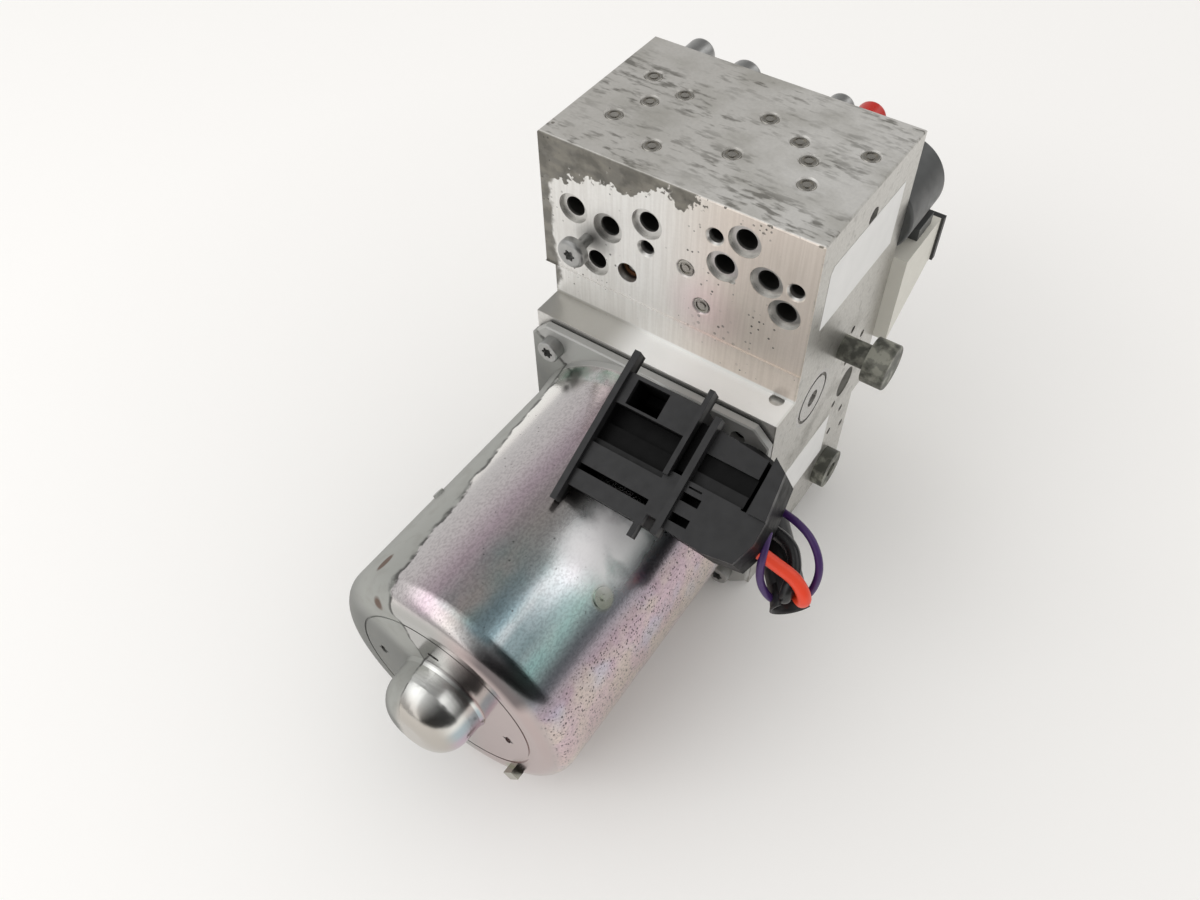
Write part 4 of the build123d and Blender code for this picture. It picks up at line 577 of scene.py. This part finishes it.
USED = {
    "turned": ["accumulator_plugs", "accumulator_piston_left", "accumulator_piston_right", "pump_plugs"],
    "copper": ["armature_windings", "coil_windings", "commutator"],
    "rubber": ["motor_gasket", "cable_grommet"],
    "magnet": ["magnets"],
    "carbon": ["brushes"],
    "moulded": ["brush_card", "coil_bobbins", "housing_cover"],
    "cream": ["coil_housing"],
    "board": ["control_board"],
    "shroud": ["connector_shroud"],
    "red": ["red_cap"],
    "brass": ["connector_pins"],
    "label": ["blank_labels"],
    "stud": ["mount_stud", "mount_bushes"],
    "plug": ["ball_plugs"],
    "ring": ["port_ring"],
    "valve_block": ["valve_block"],
    "motor_can": ["motor_can"],
    "connector_bracket": ["connector_bracket"],
}
finish_of = {name: finish for finish, names in USED.items() for name in names}
for name, obj in NODES.items():
    obj.data.materials.clear()
    obj.data.materials.append(FINISHES[finish_of.get(name, "steel")])

LEAD_FINISH = {
    "red_lead": plain("red_insulation", (0.80, 0.055, 0.016), 0.35, scale=300.0, shade=0.12),
    "black_lead": plain("black_insulation", (0.012, 0.012, 0.013), 0.3),
    "violet_lead": plain("violet_insulation", (0.055, 0.02, 0.12), 0.35),
    "sheath": plain("black_sheath", (0.014, 0.014, 0.015), 0.4),
}


def add_lead(name, points, radius, finish):
    made = cord_curve(name + "_cord", points, radius)
    made.data.materials.append(LEAD_FINISH[finish])
    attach(made, "unit")
    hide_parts(name)


add_lead("red_lead", RED_ROUTE, 0.0022, "red_lead")
add_lead("black_lead", BLACK_ROUTE, 0.0022, "black_lead")
add_lead("violet_lead_a", VIOLET_A_ROUTE, 0.00125, "violet_lead")
add_lead("violet_lead_b", VIOLET_B_ROUTE, 0.00125, "violet_lead")
NODES["cable_sheath"].data.materials.clear()
NODES["cable_sheath"].data.materials.append(LEAD_FINISH["sheath"])


# ------------------------------------------------------------------ the sheath's lower lip, open under the leads
mouth = Vector((0.07638, -0.08349, 0.06918))
along = Vector((0.674, -0.703, -0.226)).normalized()
beside = along.cross(Vector((0.533, 0.253, 0.807))).normalized()
over = beside.cross(along)
# how far out along the sheath each ring lies, and its radius
LIP = [(-0.0040, 0.00585), (0.0000, 0.0060), (0.0017, 0.0063), (0.0032, 0.0068)]
LIP_START, LIP_SWEEP = 75, 210
STEPS = 24
lip_points = []
for out, radius in LIP:
    for step in range(STEPS + 1):
        turn = math.radians(LIP_START + LIP_SWEEP * step / STEPS)
        lip_points.append(mouth + along * out + (over * math.cos(turn) + beside * math.sin(turn)) * radius)
lip_faces = []
for row in range(len(LIP) - 1):
    for step in range(STEPS):
        first = row * (STEPS + 1) + step
        lip_faces.append((first, first + 1, first + STEPS + 2, first + STEPS + 1))
lip_mesh = bpy.data.meshes.new("sheath_lip")
lip_mesh.from_pydata(lip_points, [], lip_faces)
lip_mesh.shade_smooth()
lip_mesh.materials.append(LEAD_FINISH["sheath"])
lip = bpy.data.objects.new("sheath_lip", lip_mesh)
SCENE.collection.objects.link(lip)
wall = lip.modifiers.new("wall", "SOLIDIFY")
wall.thickness = 0.0006
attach(lip, "unit")


# ------------------------------------------------------------------ floor, world and lights
FLOOR_HALF = 4
floor_mesh = bpy.data.meshes.new("floor")
floor_mesh.from_pydata(
    [(-FLOOR_HALF, -FLOOR_HALF, 0), (FLOOR_HALF, -FLOOR_HALF, 0), (FLOOR_HALF, FLOOR_HALF, 0),
     (-FLOOR_HALF, FLOOR_HALF, 0)], [], [(0, 1, 2, 3)])
floor = bpy.data.objects.new("floor", floor_mesh)
SCENE.collection.objects.link(floor)
floor_paint = Paint("white_table", (0.93, 0.925, 0.915), 0.9, spec=0.1)
# painted light: the table glows faintly everywhere but in a soft round patch about the object
glow_free_patch = floor_paint.spot((0.02, -0.05, 0), (0.36, 0.36, 1.0), 0.75)
floor_paint.shader.inputs["Emission Color"].default_value = (1.0, 0.985, 0.965, 1)
floor_paint.vary("Emission Strength", glow_free_patch, 0.06, 0.0)
floor_mesh.materials.append(floor_paint.done())

world = bpy.data.worlds.new("world")
SCENE.world = world
world.use_nodes = True
wt = world.node_tree
wt.nodes.clear()
wout = wt.nodes.new("ShaderNodeOutputWorld")
room = wt.nodes.new("ShaderNodeBackground")
shiny = wt.nodes.new("ShaderNodeBackground")
pick = wt.nodes.new("ShaderNodeMixShader")
paths = wt.nodes.new("ShaderNodeLightPath")
coord = wt.nodes.new("ShaderNodeTexCoord")
sep = wt.nodes.new("ShaderNodeSeparateXYZ")
around = wt.nodes.new("ShaderNodeMath")
around.operation = "ARCTAN2"
degrees = wt.nodes.new("ShaderNodeMath")
degrees.operation = "DEGREES"
scaled = wt.nodes.new("ShaderNodeMapRange")
ROOM_SPAN = 160.0
scaled.inputs["From Min"].default_value = -ROOM_SPAN
scaled.inputs["From Max"].default_value = ROOM_SPAN
# brightness of the room as the metal mirrors it, by angle from straight up towards +X in degrees
ROOM_ABOVE = [
    (-112, 0.66), (-86, 0.58), (-56, 0.54), (-38, 0.37), (-22, 0.26), (10, 0.26), (19, 0.34), (26, 1.30), (38, 1.35),
    (48, 0.98), (62, 0.74), (72, 0.42), (80, 0.20), (88, 0.27), (98, 0.46), (112, 0.50)]
ROOM_FRONT = [
    (-110, 0.58), (-62, 0.60), (-48, 1.10), (-38, 1.35), (-20, 1.35), (-6, 0.70), (12, 0.36), (30, 0.14), (48, 0.03),
    (92, 0.025), (106, 0.12), (118, 0.40), (140, 0.48)]
room_colors = []
for stops in (ROOM_ABOVE, ROOM_FRONT):
    ramp = wt.nodes.new("ShaderNodeValToRGB")
    set_stops(ramp.color_ramp, [
        ((at + ROOM_SPAN) / (2 * ROOM_SPAN), (level, level, level)) for at, level in stops])
    wt.links.new(scaled.outputs[0], ramp.inputs[0])
    room_colors.append(ramp.outputs[0])
to_front = wt.nodes.new("ShaderNodeMapRange")
to_front.interpolation_type = "SMOOTHSTEP"
to_front.inputs["From Min"].default_value = 0.20
to_front.inputs["From Max"].default_value = 0.02
seen = wt.nodes.new("ShaderNodeMix")
seen.data_type = "RGBA"
wt.links.new(coord.outputs["Generated"], sep.inputs[0])
wt.links.new(sep.outputs[0], around.inputs[0])
wt.links.new(sep.outputs[2], around.inputs[1])
wt.links.new(around.outputs[0], degrees.inputs[0])
wt.links.new(degrees.outputs[0], scaled.inputs["Value"])
wt.links.new(sep.outputs[1], to_front.inputs["Value"])
wt.links.new(to_front.outputs[0], seen.inputs[0])
wt.links.new(room_colors[0], seen.inputs[6])
wt.links.new(room_colors[1], seen.inputs[7])
wt.links.new(seen.outputs[2], shiny.inputs[0])
room.inputs[0].default_value = (1.0, 0.985, 0.965, 1)
room.inputs[1].default_value = 0.80
shiny.inputs[1].default_value = 1.0
wt.links.new(paths.outputs["Is Glossy Ray"], pick.inputs[0])
wt.links.new(room.outputs[0], pick.inputs[1])
wt.links.new(shiny.outputs[0], pick.inputs[2])
wt.links.new(pick.outputs[0], wout.inputs[0])


def area_light(name, place, aim, size, power, color=(1, 1, 1), mirrored=True):
    data = bpy.data.lights.new(name, "AREA")
    data.shape = "RECTANGLE"
    data.size, data.size_y = size
    data.energy = power
    data.color = color
    made = bpy.data.objects.new(name, data)
    SCENE.collection.objects.link(made)
    made.location = place
    made.visible_glossy = mirrored
    made.rotation_euler = (Vector(aim) - Vector(place)).to_track_quat("-Z", "Y").to_euler()
    return made


sun = bpy.data.lights.new("window", "SUN")
sun.energy = 0.22
sun.angle = 1.0
sun_object = bpy.data.objects.new("window", sun)
SCENE.collection.objects.link(sun_object)
sun_object.rotation_euler = Vector((-0.62, -0.15, 0.77)).to_track_quat("Z", "Y").to_euler()
sun_object.visible_glossy = False
area_light("front_fill", (-0.40, -1.0, 0.85), (0, -0.03, 0.11), (0.9, 0.7), 4.0, mirrored=False)

SCENE.view_settings.view_transform = "Standard"
